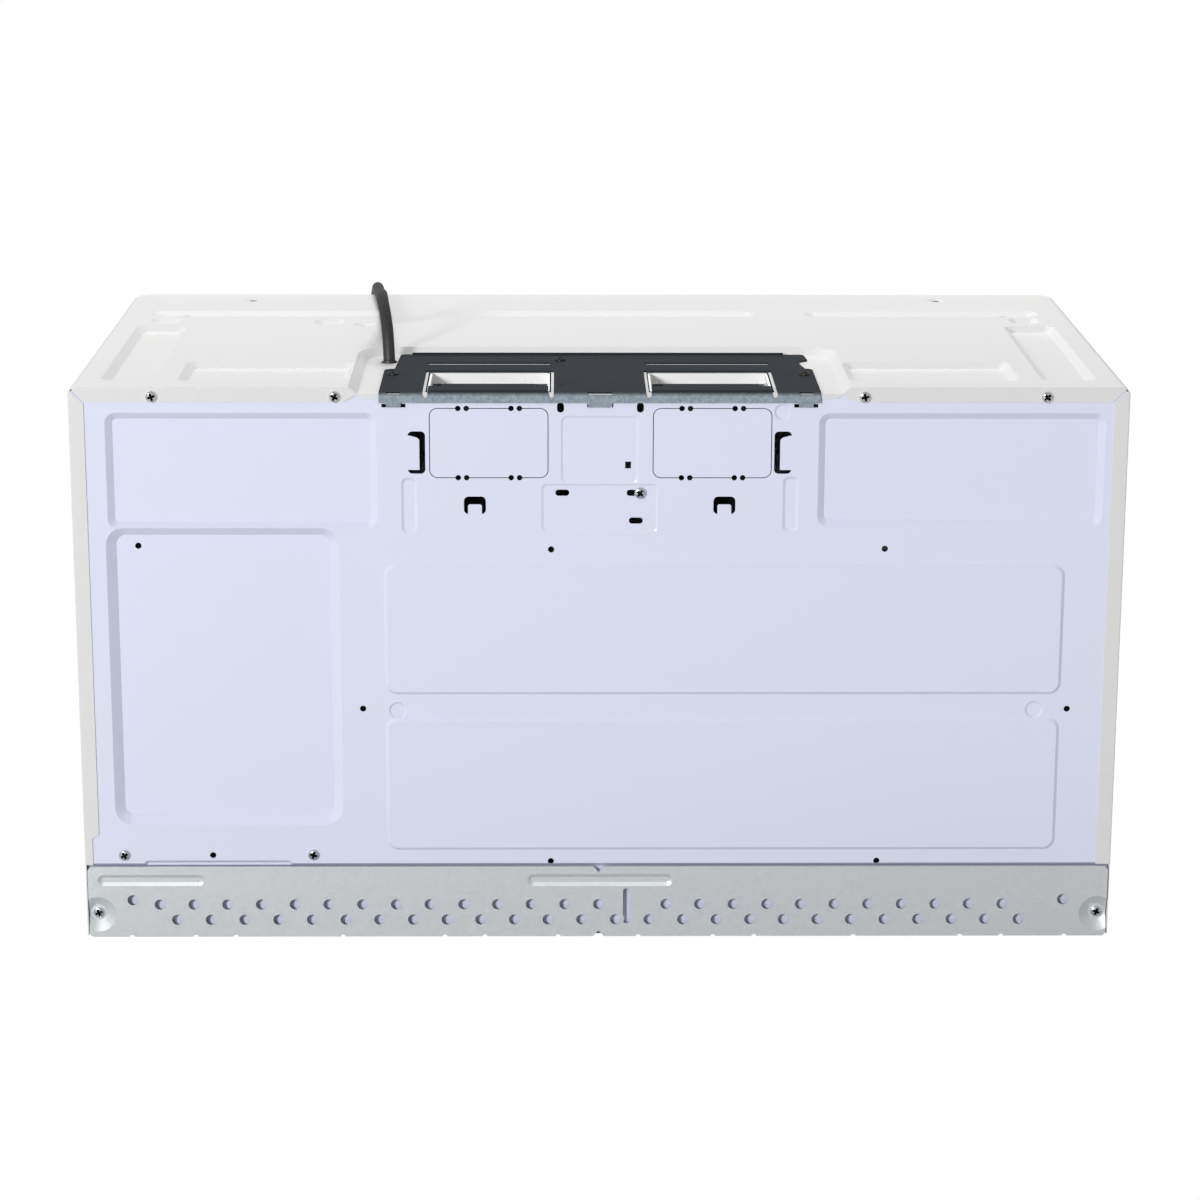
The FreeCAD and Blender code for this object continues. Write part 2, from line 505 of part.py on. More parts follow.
def exhaust_plate():
    top = FLOOR + PLATE
    ledge = HEIGHT - 1.9
    outline = [(EXHAUST_HALF, -PLATE), (EXHAUST_HALF, 84.0), (EXHAUST_HALF - 1.5, 87.5), (150.5, 90.0),
               (150.3, 96.0), (148.5, 145.0), (146.5, EXHAUST_DEPTH), (-153.0, EXHAUST_DEPTH), (-155.4, 144.5),
               (-156.8, 125.5), (-150.4, 120.8), (-150.2, 106.8), (-152.7, 90.5), (-156.5, 89.5),
               (-EXHAUST_HALF, 87.0), (-EXHAUST_HALF, -PLATE)]
    corners = [point(x, back, FLOOR) for x, back in outline]
    plate = Part.Face(Part.makePolygon(corners + corners[:1])).extrude(FreeCAD.Vector(0, 0, PLATE))
    pieces = [plate, block(-140.0, 140.0, EXHAUST_DEPTH - PLATE, EXHAUST_DEPTH, FLOOR, top + 1.4),
              block(-EXHAUST_HALF, EXHAUST_HALF, -PLATE, 0, HEIGHT - EXHAUST_FLANGE, top)]
    for side in (1, -1):
        x = side * DUCT_X
        pieces.append(block(x - 43, x + 43, -PLATE, 14.0, ledge - PLATE, ledge))
        pieces.append(block(x - 34, x + 34, 14.0, 22.0, ledge - PLATE, ledge))
        pieces.append(block(x - 43, x + 43, -PLATE, 0, HEIGHT - EXHAUST_FLANGE, ledge))
    for x in (HOOK_X, 0.0, -HOOK_X):
        half = HOOK_W / 2 if x else 8.7
        pieces.append(block(x - half, x + half, -PLATE, 0, HEIGHT - 14.4, HEIGHT - EXHAUST_FLANGE + 0.5))
        pieces.append(block(x - half, x + half, -PLATE, 4.5, HEIGHT - 14.4, HEIGHT - 13.2))
    body = fused(pieces)
    cutters = []
    for side in (1, -1):
        x = side * DUCT_X
        cutters.append(block(x - DUCT_W / 2, x + DUCT_W / 2, 0, DUCT_BACK, FLOOR - 2, top + 0.02))
        for edge in (-1, 1):
            gap = x + edge * (DUCT_W / 2 - 1.9)
            cutters.append(block(gap - 1.9, gap + 1.9, -3, 23, FLOOR - 1.0, HEIGHT))
            cutters.append(rod(gap, 2, FLOOR - 1.0, Y_AXIS, 1.9, 5))
        slit = slab(92.5, 8.5, 2.0, 6)
        slit.translate(point(x + side * 1.0, 110.0, FLOOR - 2))
        cutters.append(slit)
        x0, x1 = side * HOOK_X - HOOK_W / 2, side * HOOK_X + HOOK_W / 2
        cutters.append(block(x0, x1, -3, 1.6, top - 1.4, top + 1))
        mark = slab(7.5, 0.8, 0.3, 6)
        mark.translate(point(side * 140.5, 65.0, FLOOR - 2))
        cutters.append(mark)
    cutters.append(block(-8.7, 8.7, -3, 0.9, HEIGHT - 5.6, HEIGHT + 1))
    oval = slab(5.0, 3.0, 1.4, 6)
    oval.translate(point(27.9, 26.0, FLOOR - 2))
    cutters.append(oval)
    for x, back in EXHAUST_SCREWS:
        cutters.append(rod(x, back, FLOOR - 4, Z_AXIS, SCREW_HOLE_R, 8))
    body = drilled(body, cutters)
    return max(body.Solids, key=lambda s: s.Volume)


# ---- base plate, with the filter openings ------------------------------------------------------

FILTER_W, FILTER_L, FILTER_T = 100.0, 250.0, 8.0
FILTER_X = (HALF - 164.5, -HALF + 84.5)
FILTER_BACK = (SIDE_DEPTH + 8.0) / 2
FILTER_TRAVEL = 10.0
LAMP_BACK = SIDE_DEPTH - 32.0
BASE_BACK = SHEET + JOGGLE + SHEET


def base_plate():
    body = block(-INNER_HALF, INNER_HALF, BASE_BACK, SIDE_DEPTH, 0, BASE_H)
    body = body.cut(block(-INNER_HALF + BASE_T, INNER_HALF - BASE_T, BASE_BACK + BASE_T, SIDE_DEPTH - BASE_T,
                          BASE_T, BASE_H + 1))
    guides = []
    cutters = []
    for x in FILTER_X:
        opening = slab(FILTER_W - 14, FILTER_L - 14, 6.0, 8.0)
        opening.translate(point(x, FILTER_BACK, -2))
        cutters.append(opening)
        for side in (1, -1):
            wall = x + side * (FILTER_W / 2 + LOOSE)
            low, high = sorted((wall, wall + side * BASE_T))
            guides.append(block(low, high, FILTER_BACK - FILTER_L / 2 - FILTER_TRAVEL - 4,
                                FILTER_BACK + FILTER_L / 2 + 2, BASE_T, BASE_T + 6))
    window = slab(96.0, 46.0, 5.0, 8.0)
    window.translate(point(TABLE_X, LAMP_BACK, -2))
    cutters.append(window)
    for k in range(10):
        vent = slab(4.0, 60.0, 1.9, 8.0)
        vent.translate(point(HALF - 79.5 + 7.0 * k, 90.0, -2))
        cutters.append(vent)
    return drilled(fused([body] + guides), cutters)


def grease_filter(x):
    """An aluminium frame round a woven mesh pad."""
    z0 = BASE_T + LOOSE
    frame = slab(FILTER_W, FILTER_L, 5.0, FILTER_T)
    pad = slab(FILTER_W - 10, FILTER_L - 10, 3.0, 2.0)
    pad.translate(FreeCAD.Vector(0, 0, FILTER_T - 2.0))
    under = slab(FILTER_W - 10, FILTER_L - 10, 3.0, 2.0)
    body = frame.cut(pad).cut(under)
    body.translate(point(x, FILTER_BACK, z0))
    return body


def cooktop_lamp_cover():
    """Ribbed glass over the cooktop lamp, held in the base opening by its rim."""
    rim = slab(104.0, 54.0, 6.0, 1.6)
    lens = slab(95.0, 45.0, 4.5, BASE_T + 0.05)
    lens.translate(FreeCAD.Vector(0, 0, -BASE_T - 0.05))
    body = rim.fuse(lens)
    ribs = []
    for k in range(11):
        rib = Part.makeCylinder(1.0, 40.0, FreeCAD.Vector(-40.0 + 8.0 * k, -20.0, 1.6), Y_AXIS)
        ribs.append(rib)
    body = fused([body] + ribs)
    body.translate(point(TABLE_X, LAMP_BACK, BASE_T))
    return body


def cooktop_lamp():
    """A bulb in its holder, on a bracket that stands on the base plate."""
    bracket = block(TABLE_X - 72, TABLE_X - 54, LAMP_BACK - 14, LAMP_BACK + 14, BASE_T, 32)
    holder = rod(TABLE_X - 54, LAMP_BACK, 22, X_AXIS, 9.0, 22)
    bulb = rod(TABLE_X - 32, LAMP_BACK, 22, X_AXIS, 8.0, 34).fuse(
        Part.makeSphere(8.0, point(TABLE_X + 2, LAMP_BACK, 22)))
    return fused([bracket, holder, bulb])


# ---- oven cavity and front frame -----------------------------------------------------------------

def cavity_block(inset, front):
    """The oven's space, with round corners all the way to the mouth."""
    x0, x1 = CAVITY_X0 - inset, CAVITY_X1 + inset
    z0, z1 = CAVITY_Z0 - inset, CAVITY_Z1 + inset
    body = block(x0, x1, CAVITY_BACK - inset, front, z0, z1)
    long_edges = [e for e in body.Edges if e.BoundBox.YLength > 100]
    body = body.makeFillet(13.0 + inset, long_edges)
    rear = [e for e in body.Edges if abs(e.BoundBox.YMin - (REAR - CAVITY_BACK + inset)) < 0.01]
    return body.makeFillet(9.0 + inset, rear)


def oven_cavity():
    shell = cavity_block(CAVITY_WALL, SIDE_DEPTH).cut(cavity_block(0, SIDE_DEPTH + 20))
    deep = TRACK_DEEP + CAVITY_WALL - 0.2
    dish = rod(TABLE_X, TABLE_BACK, TRACK_Z - CAVITY_WALL, Z_AXIS, TRACK_R + 1.0, deep)
    hollow = rod(TABLE_X, TABLE_BACK, TRACK_Z, Z_AXIS, TRACK_R, TRACK_DEEP + 2)
    body = shell.cut(rod(TABLE_X, TABLE_BACK, TRACK_Z - 1, Z_AXIS, TRACK_R, TRACK_DEEP + 2))
    body = body.fuse(dish.cut(hollow)).removeSplitter()
    cutters = [rod(TABLE_X, TABLE_BACK, TRACK_Z - 5, Z_AXIS, 8.0, 10),
               block(CAVITY_X1 - 1, CAVITY_X1 + 3, 150, 230, SOURCE_Z - 32, SOURCE_Z + 18)]
    for row in range(4):
        for column in range(6):
            z = CAVITY_Z1 - 58 + 7 * row
            cutters.append(rod(CAVITY_X1 - 2, SIDE_DEPTH - 72 + 7 * column, z, X_AXIS, 2.0, 5))
            cutters.append(rod(CAVITY_X0 - 3, 60 + 7 * column, z, X_AXIS, 2.0, 5))
    return drilled(body, cutters)


def front_frame():
    body = block(-INNER_HALF + LOOSE, INNER_HALF - LOOSE, SIDE_DEPTH, FRAME_FACE, BASE_T, FRAME_TOP)
    mouth = block(CAVITY_X0, CAVITY_X1, SIDE_DEPTH - 1, FRAME_FACE + 1, CAVITY_Z0, CAVITY_Z1)
    mouth = mouth.makeFillet(13.0, [e for e in mouth.Edges if abs(e.BoundBox.YLength - FRAME_T - 2) < 0.01])
    controls = block(DOOR_X1 + 14, INNER_HALF - 14, SIDE_DEPTH - 1, FRAME_FACE + 1, 24, FRAME_TOP - 16.5)
    cutters = [mouth, controls]
    for z in LATCH_Z:
        cutters.append(block(LATCH_X - 4, LATCH_X + 6, SIDE_DEPTH - 1, FRAME_FACE + 1, z - 11, z + 13))
    return drilled(body, cutters)


# ---- turntable -------------------------------------------------------------------------------------

TRAY_Z = TRACK_Z + 2 * ROLLER_R + 2 * LOOSE


def turntable_motor():
    """A flat synchronous motor under the oven floor, with two ears."""
    top = TRACK_Z - CAVITY_WALL
    body = rod(TABLE_X, TABLE_BACK, top - 16, Z_AXIS, 24.5, 16)
    ears = slab(70.0, 12.0, 5.5, 1.5)
    ears.translate(point(TABLE_X, TABLE_BACK, top - 1.5))
    return fused([body, ears]).cut(rod(TABLE_X, TABLE_BACK, top - 12, Z_AXIS, 3.5 + RUN_GAP, 14))


def turntable_coupler():
    """The driven shaft and its three-lobed hub, which locks into the tray."""
    shaft = rod(TABLE_X, TABLE_BACK, TRACK_Z - CAVITY_WALL - 11, Z_AXIS, 3.5, 20)
    hub = rod(TABLE_X, TABLE_BACK, TRACK_Z + LOOSE, Z_AXIS, 12.0, TRAY_Z - TRACK_Z - LOOSE)
    pieces = [shaft, hub]
    for k in range(3):
        arm = Part.makeBox(20.0, 9.0, 6.0, FreeCAD.Vector(0, -4.5, 0))
        arm.rotate(FreeCAD.Vector(0, 0, 0), Z_AXIS, 120.0 * k)
        arm.translate(point(TABLE_X, TABLE_BACK, TRAY_Z - 6.0))
        pieces.append(arm)
    return fused(pieces)


def glass_tray():
    """A pressed glass dish with a raised rim and a drive ring underneath."""
    t = 4.5
    r = TABLE_R
    base = TRAY_Z
    outline = [(0, 0), (r - 24, 0), (r - 6, 7), (r, 12), (r - 1.5, 14.5), (r - 6, 12.5), (r - 26, t), (0, t)]
    corners = [FreeCAD.Vector(x, 0, z) for x, z in outline]
    body = Part.Face(Part.makePolygon(corners + corners[:1])).revolve(FreeCAD.Vector(0, 0, 0), Z_AXIS, 360)
    body.translate(point(TABLE_X, TABLE_BACK, base))
    lugs = []
    for k in range(3):
        angle = math.radians(120.0 * k + 60.0)
        x, back = TABLE_X + 26 * math.cos(angle), TABLE_BACK - 26 * math.sin(angle)
        lugs.append(rod(x, back, base - 4, Z_AXIS, 4.0, 4.2))
    return fused([body] + lugs)


def roller_ring():
    """The loose ring that carries three rollers on stub axles."""
    z = TRACK_Z + ROLLER_R + LOOSE
    outer = RING_R - ROLLER_W / 2 - 1.0
    ring = Part.makeCylinder(outer, 5.0, FreeCAD.Vector(0, 0, z - 2.5), Z_AXIS).cut(
        Part.makeCylinder(outer - 8.0, 9.0, FreeCAD.Vector(0, 0, z - 4.5), Z_AXIS))
    pieces = [ring]
    for k in range(3):
        axle = Part.makeCylinder(1.8, ROLLER_W + 4.0, FreeCAD.Vector(outer - 2.0, 0, z), X_AXIS)
        axle = axle.fuse(Part.makeCylinder(3.0, 1.2, FreeCAD.Vector(outer + ROLLER_W + 1.6, 0, z), X_AXIS))
        axle.rotate(FreeCAD.Vector(0, 0, 0), Z_AXIS, 120.0 * k)
        pieces.append(axle)
    body = fused(pieces)
    body.translate(point(TABLE_X, TABLE_BACK, 0))
    return body


def ring_roller(k):
    """One small wheel on its stub axle."""
    x, z = RING_R - ROLLER_W / 2, TRACK_Z + ROLLER_R + LOOSE
    wheel = Part.makeCylinder(ROLLER_R, ROLLER_W, FreeCAD.Vector(x, 0, z), X_AXIS)
    wheel = wheel.makeFillet(1.2, [e for e in wheel.Edges if e.Length > 30])
    wheel = wheel.cut(Part.makeCylinder(1.8 + RUN_GAP, ROLLER_W + 2, FreeCAD.Vector(x - 1, 0, z), X_AXIS))
    wheel.rotate(FreeCAD.Vector(0, 0, 0), Z_AXIS, 120.0 * k)
    wheel.translate(point(TABLE_X, TABLE_BACK, 0))
    return wheel


# ---- microwave source on the control side --------------------------------------------------------

WALL_X = CAVITY_X1 + CAVITY_WALL
CORE_BACK = SIDE_DEPTH - 82.0    # the transformer's middle


def waveguide_cover():
    return block(CAVITY_X1 - 0.6, CAVITY_X1, 144, 236, SOURCE_Z - 38, SOURCE_Z + 24)


def waveguide():
    """A folded duct from the magnetron's antenna to the oven wall."""
    body = block(WALL_X, WALL_X + 40, 145, 235, SOURCE_Z - 48, SOURCE_Z + 42)
    body = body.cut(block(WALL_X - 1, WALL_X + 38.8, 146.2, 233.8, SOURCE_Z - 46.8, SOURCE_Z + 40.8))
    return body.cut(rod(WALL_X + 35, 190, SOURCE_Z, X_AXIS, 11.0, 10))


def magnetron():
    """Cooling fins in a yoke, with the antenna on one side and the filter box on the other."""
    x0, z = WALL_X + 40, SOURCE_Z
    pieces = [block(x0, x0 + 3, 146, 234, z - 44, z + 44), block(x0 + 60, x0 + 63, 152, 228, z - 38, z + 38),
              block(x0 + 2.9, x0 + 60.1, 152, 156, z - 38, z + 38), rod(x0 + 2, 190, z, X_AXIS, 18.0, 60),
              rod(x0 - 22, 190, z, X_AXIS, 8.0, 24), block(x0 + 62.9, x0 + 88, 162, 218, z - 28, z + 28)]
    for k in range(8):
        pieces.append(block(x0 + 12 + 5.5 * k, x0 + 13.2 + 5.5 * k, 155.9, 226, z - 36, z + 36))
    return fused(pieces)


def hv_transformer():
    """A laminated core with two windings, on feet that stand on the base plate."""
    x, b = HALF - 54.5, CORE_BACK
    core = block(x - 40, x + 40, b - 45, b + 45, BASE_T, 78).cut(block(x - 25, x + 25, b - 46, b + 46, 24, 62))
    middle = block(x - 40, x + 40, b - 12, b + 12, 23.9, 62.1)
    windings = [block(x - 33, x + 33, b0, b0 + 28.9, 25, 61) for b0 in (b - 41, b + 12.1)]
    return fused([core, middle] + windings)


def hv_capacitor():
    """An oval can with two blade terminals, strapped to the base plate."""
    can = slab(52.0, 32.0, 15.9, 92.0)
    x, b = HALF - 54.5, CORE_BACK - 80
    can.translate(point(x, b, BASE_T))
    blades = [block(x + dx - 3, x + dx + 3, b - 0.5, b + 0.5, BASE_T + 91.9, BASE_T + 102) for dx in (-10, 10)]
    return fused([can] + blades)


def cooling_fan_shroud():
    """A plate across the component space, with the fan's ring, flanged to the oven's side wall."""
    plate = block(WALL_X, INNER_HALF, 60, 61.2, FAN_Z - 61, HEIGHT - 12)
    flange = block(WALL_X, WALL_X + 1.2, 61.1, 84, FAN_Z - 61, CAVITY_Z1 - 20)
    ring = rod(FAN_X, 61.2, FAN_Z, Y_AXIS, FAN_R + 4.0, 16)
    body = fused([plate, flange, ring]).cut(rod(FAN_X, 90, FAN_Z, Y_AXIS, FAN_R + 2.0, 80))
    arms = []
    for k in range(3):
        arm = block(-2.5, 2.5, 86, 88.5, 14, FAN_R + 8)
        arm.translate(FreeCAD.Vector(0, -REAR + 86, 0))
        arm.rotate(FreeCAD.Vector(0, 0, 0), Y_AXIS, 120.0 * k)
        arm.translate(FreeCAD.Vector(FAN_X, REAR - 86, FAN_Z))
        arms.append(arm)
        post = block(-2.5, 2.5, 61, 88.5, FAN_R + 4, FAN_R + 8)
        post.translate(FreeCAD.Vector(0, -REAR + 86, 0))
        post.rotate(FreeCAD.Vector(0, 0, 0), Y_AXIS, 120.0 * k)
        post.translate(FreeCAD.Vector(FAN_X, REAR - 86, FAN_Z))
        arms.append(post)
    return fused([body] + arms)


def cooling_fan_motor():
    """A shaded-pole motor: a laminated stack with its coil, on the shroud's arms."""
    stack = block(FAN_X - 24, FAN_X + 24, 88.5, 103, FAN_Z - 26, FAN_Z + 26)
    stack = stack.makeFillet(5.0, [e for e in stack.Edges if abs(e.BoundBox.YLength - 14.5) < 0.01])
    coil = block(FAN_X + 20, FAN_X + 40, 91, 100.5, FAN_Z - 17, FAN_Z + 17)
    cap = rod(FAN_X, 110, FAN_Z, Y_AXIS, 11.0, 8)
    return fused([stack, coil, cap]).cut(rod(FAN_X, 108, FAN_Z, Y_AXIS, 2.5 + RUN_GAP, 30))


def cooling_fan_blade():
    """Five pitched blades round a hub, on the motor's shaft."""
    hub = rod(FAN_X, 80, FAN_Z, Y_AXIS, 12.0, 22)
    shaft = rod(FAN_X, 106, FAN_Z, Y_AXIS, 2.5, 27)
    pieces = [hub, shaft]
    for k in range(5):
        root = [FreeCAD.Vector(x, y, 10) for x, y in ((-7, -7), (-5.6, -7.6), (7, 7), (5.6, 7.6))]
        tip = [FreeCAD.Vector(x, y, FAN_R - 2) for x, y in ((-19, -6), (-18.4, -7.2), (16, 6), (15.4, 7.2))]
        inner, outer = Part.makePolygon(root + root[:1]), Part.makePolygon(tip + tip[:1])
        blade = Part.makeLoft([inner, outer], True, True)
        blade.rotate(FreeCAD.Vector(0, 0, 0), Y_AXIS, 72.0 * k)
        blade.translate(point(FAN_X, 69, FAN_Z))
        pieces.append(blade)
    return fused(pieces)


def noise_filter_board():
    """The mains filter and fuse, on posts from the rear panel's upper recess."""
    inner_face = SHEET + UPPER_PANEL_DEEP + SHEET
    z0 = HEIGHT - 86
    pieces = [block(200, 262, inner_face + 8, inner_face + 9.6, z0, z0 + 54)]
    for x in (206, 256):
        for z in (z0 + 6, z0 + 48):
            pieces.append(rod(x, inner_face + 8.1, z, Y_AXIS, 3.0, 8.1))
    pieces.append(rod(218, inner_face + 26, z0 + 26, Y_AXIS, 11.0, 17))
    pieces.append(block(236, 256, inner_face + 9.5, inner_face + 24, z0 + 18, z0 + 42))
    pieces.append(block(208, 240, inner_face + 9.5, inner_face + 16, z0 + 3, z0 + 10))
    return fused(pieces)


def oven_lamp():
    """A small bulb and holder behind the perforated patch of the oven wall."""
    b, z = SIDE_DEPTH - 54, CAVITY_Z1 - 47
    plate = block(WALL_X, WALL_X + 1.0, b - 24, b + 24, z - 17, z + 17)
    holder = rod(WALL_X + 0.9, b, z, X_AXIS, 11.0, 12)
    bulb = rod(WALL_X + 12, b, z, X_AXIS, 7.0, 22)
    return fused([plate, holder, bulb])


# ---- blower: two scroll housings, a motor between them and two squirrel-cage wheels ------------

SCROLL_HALF = DUCT_W / 2 - 3.0
SCROLL_WALL = 1.6


def scroll_outline(inset):
    """Side view of a scroll: a rising spiral of arcs, ending in the upright outlet."""
    i = inset
    top = FLOOR - SHEET + (3.0 if i else 0.0)
    rear, cut_off = 14.0 + i, 84.0 - i
    p = [point(0, rear, top), point(0, rear, BLOWER_Z)]
    z = BLOWER_Z
    arcs = [(point(0, 43.8 + i * 0.7, z - 41.0 + i * 0.7), point(0, BLOWER_BACK, z - 56.6 + i)),
            (point(0, 132.7 - i * 0.7, z - 40.2 + i * 0.7), point(0, 150.5 - i, z)),
            (point(0, 139.0 - i * 0.7, z + 34.0 - i * 0.7), point(0, 104.0 - i * 0.3, z + 52.5 - i))]
    edges = [Part.LineSegment(p[0], p[1]).toShape()]
    last = p[1]
    for middle, end in arcs:
        edges.append(Part.Arc(last, middle, end).toShape())
        last = end
    lip = point(0, cut_off, z + 54.5 - i * 0.2)
    edges.append(Part.LineSegment(last, lip).toShape())
    edges.append(Part.LineSegment(lip, point(0, cut_off, top)).toShape())
    edges.append(Part.LineSegment(point(0, cut_off, top), p[0]).toShape())
    return Part.Face(Part.Wire(edges))


def blower_housing():
    """Two white scrolls on one saddle, their outlets against the top sheet."""
    shells = []
    for side in (1, -1):
        x0 = side * DUCT_X - SCROLL_HALF
        outer = scroll_outline(0).extrude(FreeCAD.Vector(2 * SCROLL_HALF, 0, 0))
        inner = scroll_outline(SCROLL_WALL).extrude(FreeCAD.Vector(2 * SCROLL_HALF - 2 * SCROLL_WALL, 0, 0))
        outer.translate(FreeCAD.Vector(x0, 0, 0))
        inner.translate(FreeCAD.Vector(x0 + SCROLL_WALL, 0, 0))
        shell = outer.cut(inner)
        far = side * (DUCT_X + SCROLL_HALF)
        near = side * (DUCT_X - SCROLL_HALF)
        shell = shell.cut(rod(far - 4, BLOWER_BACK, BLOWER_Z, X_AXIS, WHEEL_R - 8.0, 8))
        mouth = rod(far - (0.0 if side > 0 else 4.0), BLOWER_BACK, BLOWER_Z, X_AXIS, WHEEL_R - 6.0, 4)
        mouth = mouth.cut(rod(far - 5, BLOWER_BACK, BLOWER_Z, X_AXIS, WHEEL_R - 8.0, 10))
        shell = shell.fuse(mouth).cut(rod(near - 4, BLOWER_BACK, BLOWER_Z, X_AXIS, 14.0, 8))
        shells.append(shell)
    inner_side = DUCT_X - SCROLL_HALF
    saddle = block(-inner_side, inner_side, 40.0, 140.0, BLOWER_Z - 56, BLOWER_Z - 54)
    return fused(shells + [saddle])


def blower_motor():
    """The motor between the scrolls, with a foot on the saddle and a collar on each side wall."""
    inner_side = DUCT_X - SCROLL_HALF
    body = rod(-24, BLOWER_BACK, BLOWER_Z, X_AXIS, 40.0, 48)
    body = body.makeFillet(5.0, [e for e in body.Edges if e.Length > 200])
    collar = rod(-inner_side, BLOWER_BACK, BLOWER_Z, X_AXIS, 20.0, 2 * inner_side)
    foot = block(-20, 20, 66, 118, BLOWER_Z - 54, BLOWER_Z - 18)
    return fused([body, collar, foot]).cut(rod(-60, BLOWER_BACK, BLOWER_Z, X_AXIS, SHAFT_R + RUN_GAP, 120))


def blower_wheels():
    """Two squirrel-cage wheels of forward-curved blades on the motor's long shaft."""
    pieces = [rod(-DUCT_X - WHEEL_W / 2, BLOWER_BACK, BLOWER_Z, X_AXIS, SHAFT_R, 2 * DUCT_X + WHEEL_W)]
    for side in (1, -1):
        near = side * (DUCT_X - WHEEL_W / 2)
        far = side * (DUCT_X + WHEEL_W / 2)
        low, high = sorted((near, near + side * 2.0))
        pieces.append(rod(low, BLOWER_BACK, BLOWER_Z, X_AXIS, WHEEL_R, high - low))
        low, high = sorted((near, near + side * 16.0))
        pieces.append(rod(low, BLOWER_BACK, BLOWER_Z, X_AXIS, 9.0, high - low))
        low, high = sorted((far - side * 3.0, far))
        rim = rod(low, BLOWER_BACK, BLOWER_Z, X_AXIS, WHEEL_R, high - low)
        pieces.append(rim.cut(rod(low - 1, BLOWER_BACK, BLOWER_Z, X_AXIS, WHEEL_R - 2.0, 6)))
        chord = [FreeCAD.Vector(0, y, WHEEL_R - drop) for y, drop in ((0, 9.0), (2.6, 4.5), (3.4, 0.4))]
        back = [FreeCAD.Vector(0, y, WHEEL_R - drop) for y, drop in ((4.5, 0.6), (3.6, 4.6), (1.0, 9.2))]
        blade = Part.Face(Part.Wire([Part.Arc(*chord).toShape(),
                                     Part.LineSegment(chord[2], back[0]).toShape(),
                                     Part.Arc(*back).toShape(),
                                     Part.LineSegment(back[2], chord[0]).toShape()]))
        low, high = sorted((near + side * 1.5, far - side * 0.5))
        blade = blade.extrude(FreeCAD.Vector(high - low, 0, 0))
        blade.translate(FreeCAD.Vector(low, 0, 0))
        for k in range(BLADES):
            copy = blade.copy()
            copy.rotate(FreeCAD.Vector(0, 0, 0), X_AXIS, 360.0 * k / BLADES)
            copy.translate(point(0, BLOWER_BACK, BLOWER_Z))
            pieces.append(copy)
    return fused(pieces)


# ---- vent grille and charcoal filter ---------------------------------------------------------------

def grille_block(inset, back):
    """The grille's outer or inner space: round on its top front edge and at its two front corners."""
    half = INNER_HALF - LOOSE - inset
    top = HEIGHT - 0.4 - inset
    body = block(-half, half, back, FRONT - inset, GRILLE_Z0 + inset, top)
    upright = [e for e in body.Edges if e.BoundBox.ZLength > 20
               and abs(e.BoundBox.YMin - (REAR - FRONT + inset)) < 0.01]
    body = body.makeFillet(14.0 - inset, upright)
    edge = [e for e in body.Edges if abs(e.BoundBox.ZMin - top) < 0.01 and abs(e.BoundBox.ZMax - top) < 0.01
            and e.BoundBox.YMin < REAR - FRONT + 14.5]
    return body.makeFillet(5.0 - inset, edge)


def vent_grille():
    under = HEIGHT - DIMPLE_DEEP - SHEET
    body = grille_block(0, TOP_DEPTH - 19).cut(grille_block(GRILLE_WALL, TOP_DEPTH - 25))
    body = body.cut(block(-HALF, HALF, TOP_DEPTH - 25, TOP_DEPTH + 0.5, HEIGHT - 6.0, HEIGHT + 1))
    shelf = block(-INNER_HALF + 2, INNER_HALF - 2, TOP_DEPTH - 1.5, TOP_DEPTH + 6, HEIGHT - 8.5, HEIGHT - 2.5)
    pieces = [body, shelf.cut(block(-HALF, HALF, TOP_DEPTH - 3, TOP_DEPTH + 0.5, HEIGHT - 6.0, HEIGHT))]
    for side in (1, -1):
        x = side * GRILLE_SCREW_X
        tab = block(x - 15, x + 15, TOP_DEPTH - 27, TOP_DEPTH + 2, HEIGHT - 8.5, HEIGHT - 6.0)
        boss = rod(x, GRILLE_SCREW_BACK, HEIGHT - 6.1, Z_AXIS, 4.0, under - HEIGHT + 6.1)
        pieces += [tab, boss]
    body = fused(pieces)
    cutters = []
    bay_w = (HALF - 61.5) / 3
    slot = bay_w / 2 - 5
    for bay in range(7):
        x = bay_w * (bay - 3)
        for row in range(5):
            z = GRILLE_Z0 + 8.5 + 8.0 * row
            cutters.append(block(x - slot, x + slot, FRONT - GRILLE_WALL - 2, FRONT + 1, z, z + 4.6))
    for side in (1, -1):
        cutters.append(rod(side * GRILLE_SCREW_X, GRILLE_SCREW_BACK, HEIGHT - 12, Z_AXIS, SCREW_HOLE_R, 14))
    return drilled(body, cutters)


def charcoal_filter():
    """A framed block of charcoal, standing on the grille's floor behind the louvres."""
    z0 = GRILLE_Z0 + GRILLE_WALL
    back = FRONT - 31.0
    body = block(-140, 140, back, back + 14, z0, z0 + 42)
    cutters = []
    for k in range(8):
        x = -122.5 + 35.0 * k
        cutters.append(block(x - 14.5, x + 14.5, back - 1, back + 1.5, z0 + 4, z0 + 38))
        cutters.append(block(x - 14.5, x + 14.5, back + 12.5, back + 15, z0 + 4, z0 + 38))
    return drilled(body, cutters)


# ---- door ----------------------------------------------------------------------------------------

COVER_BACK = FRAME_FACE + DOOR_GAP
PAN_BACK = COVER_BACK + 2.2
PAN_FRONT = FRONT - 17.0
LATCH_BACK = PAN_BACK + 9.6
FASCIA_BACK = FRONT - 31.0
FASCIA_WALL = 2.5
GLASS_X0, GLASS_X1 = DOOR_X0 + 43.0, DOOR_X1 - 74.0
GLASS_Z0, GLASS_Z1 = DOOR_Z0 + 55.5, DOOR_Z1 - 49.5
GLASS_T = 2.0


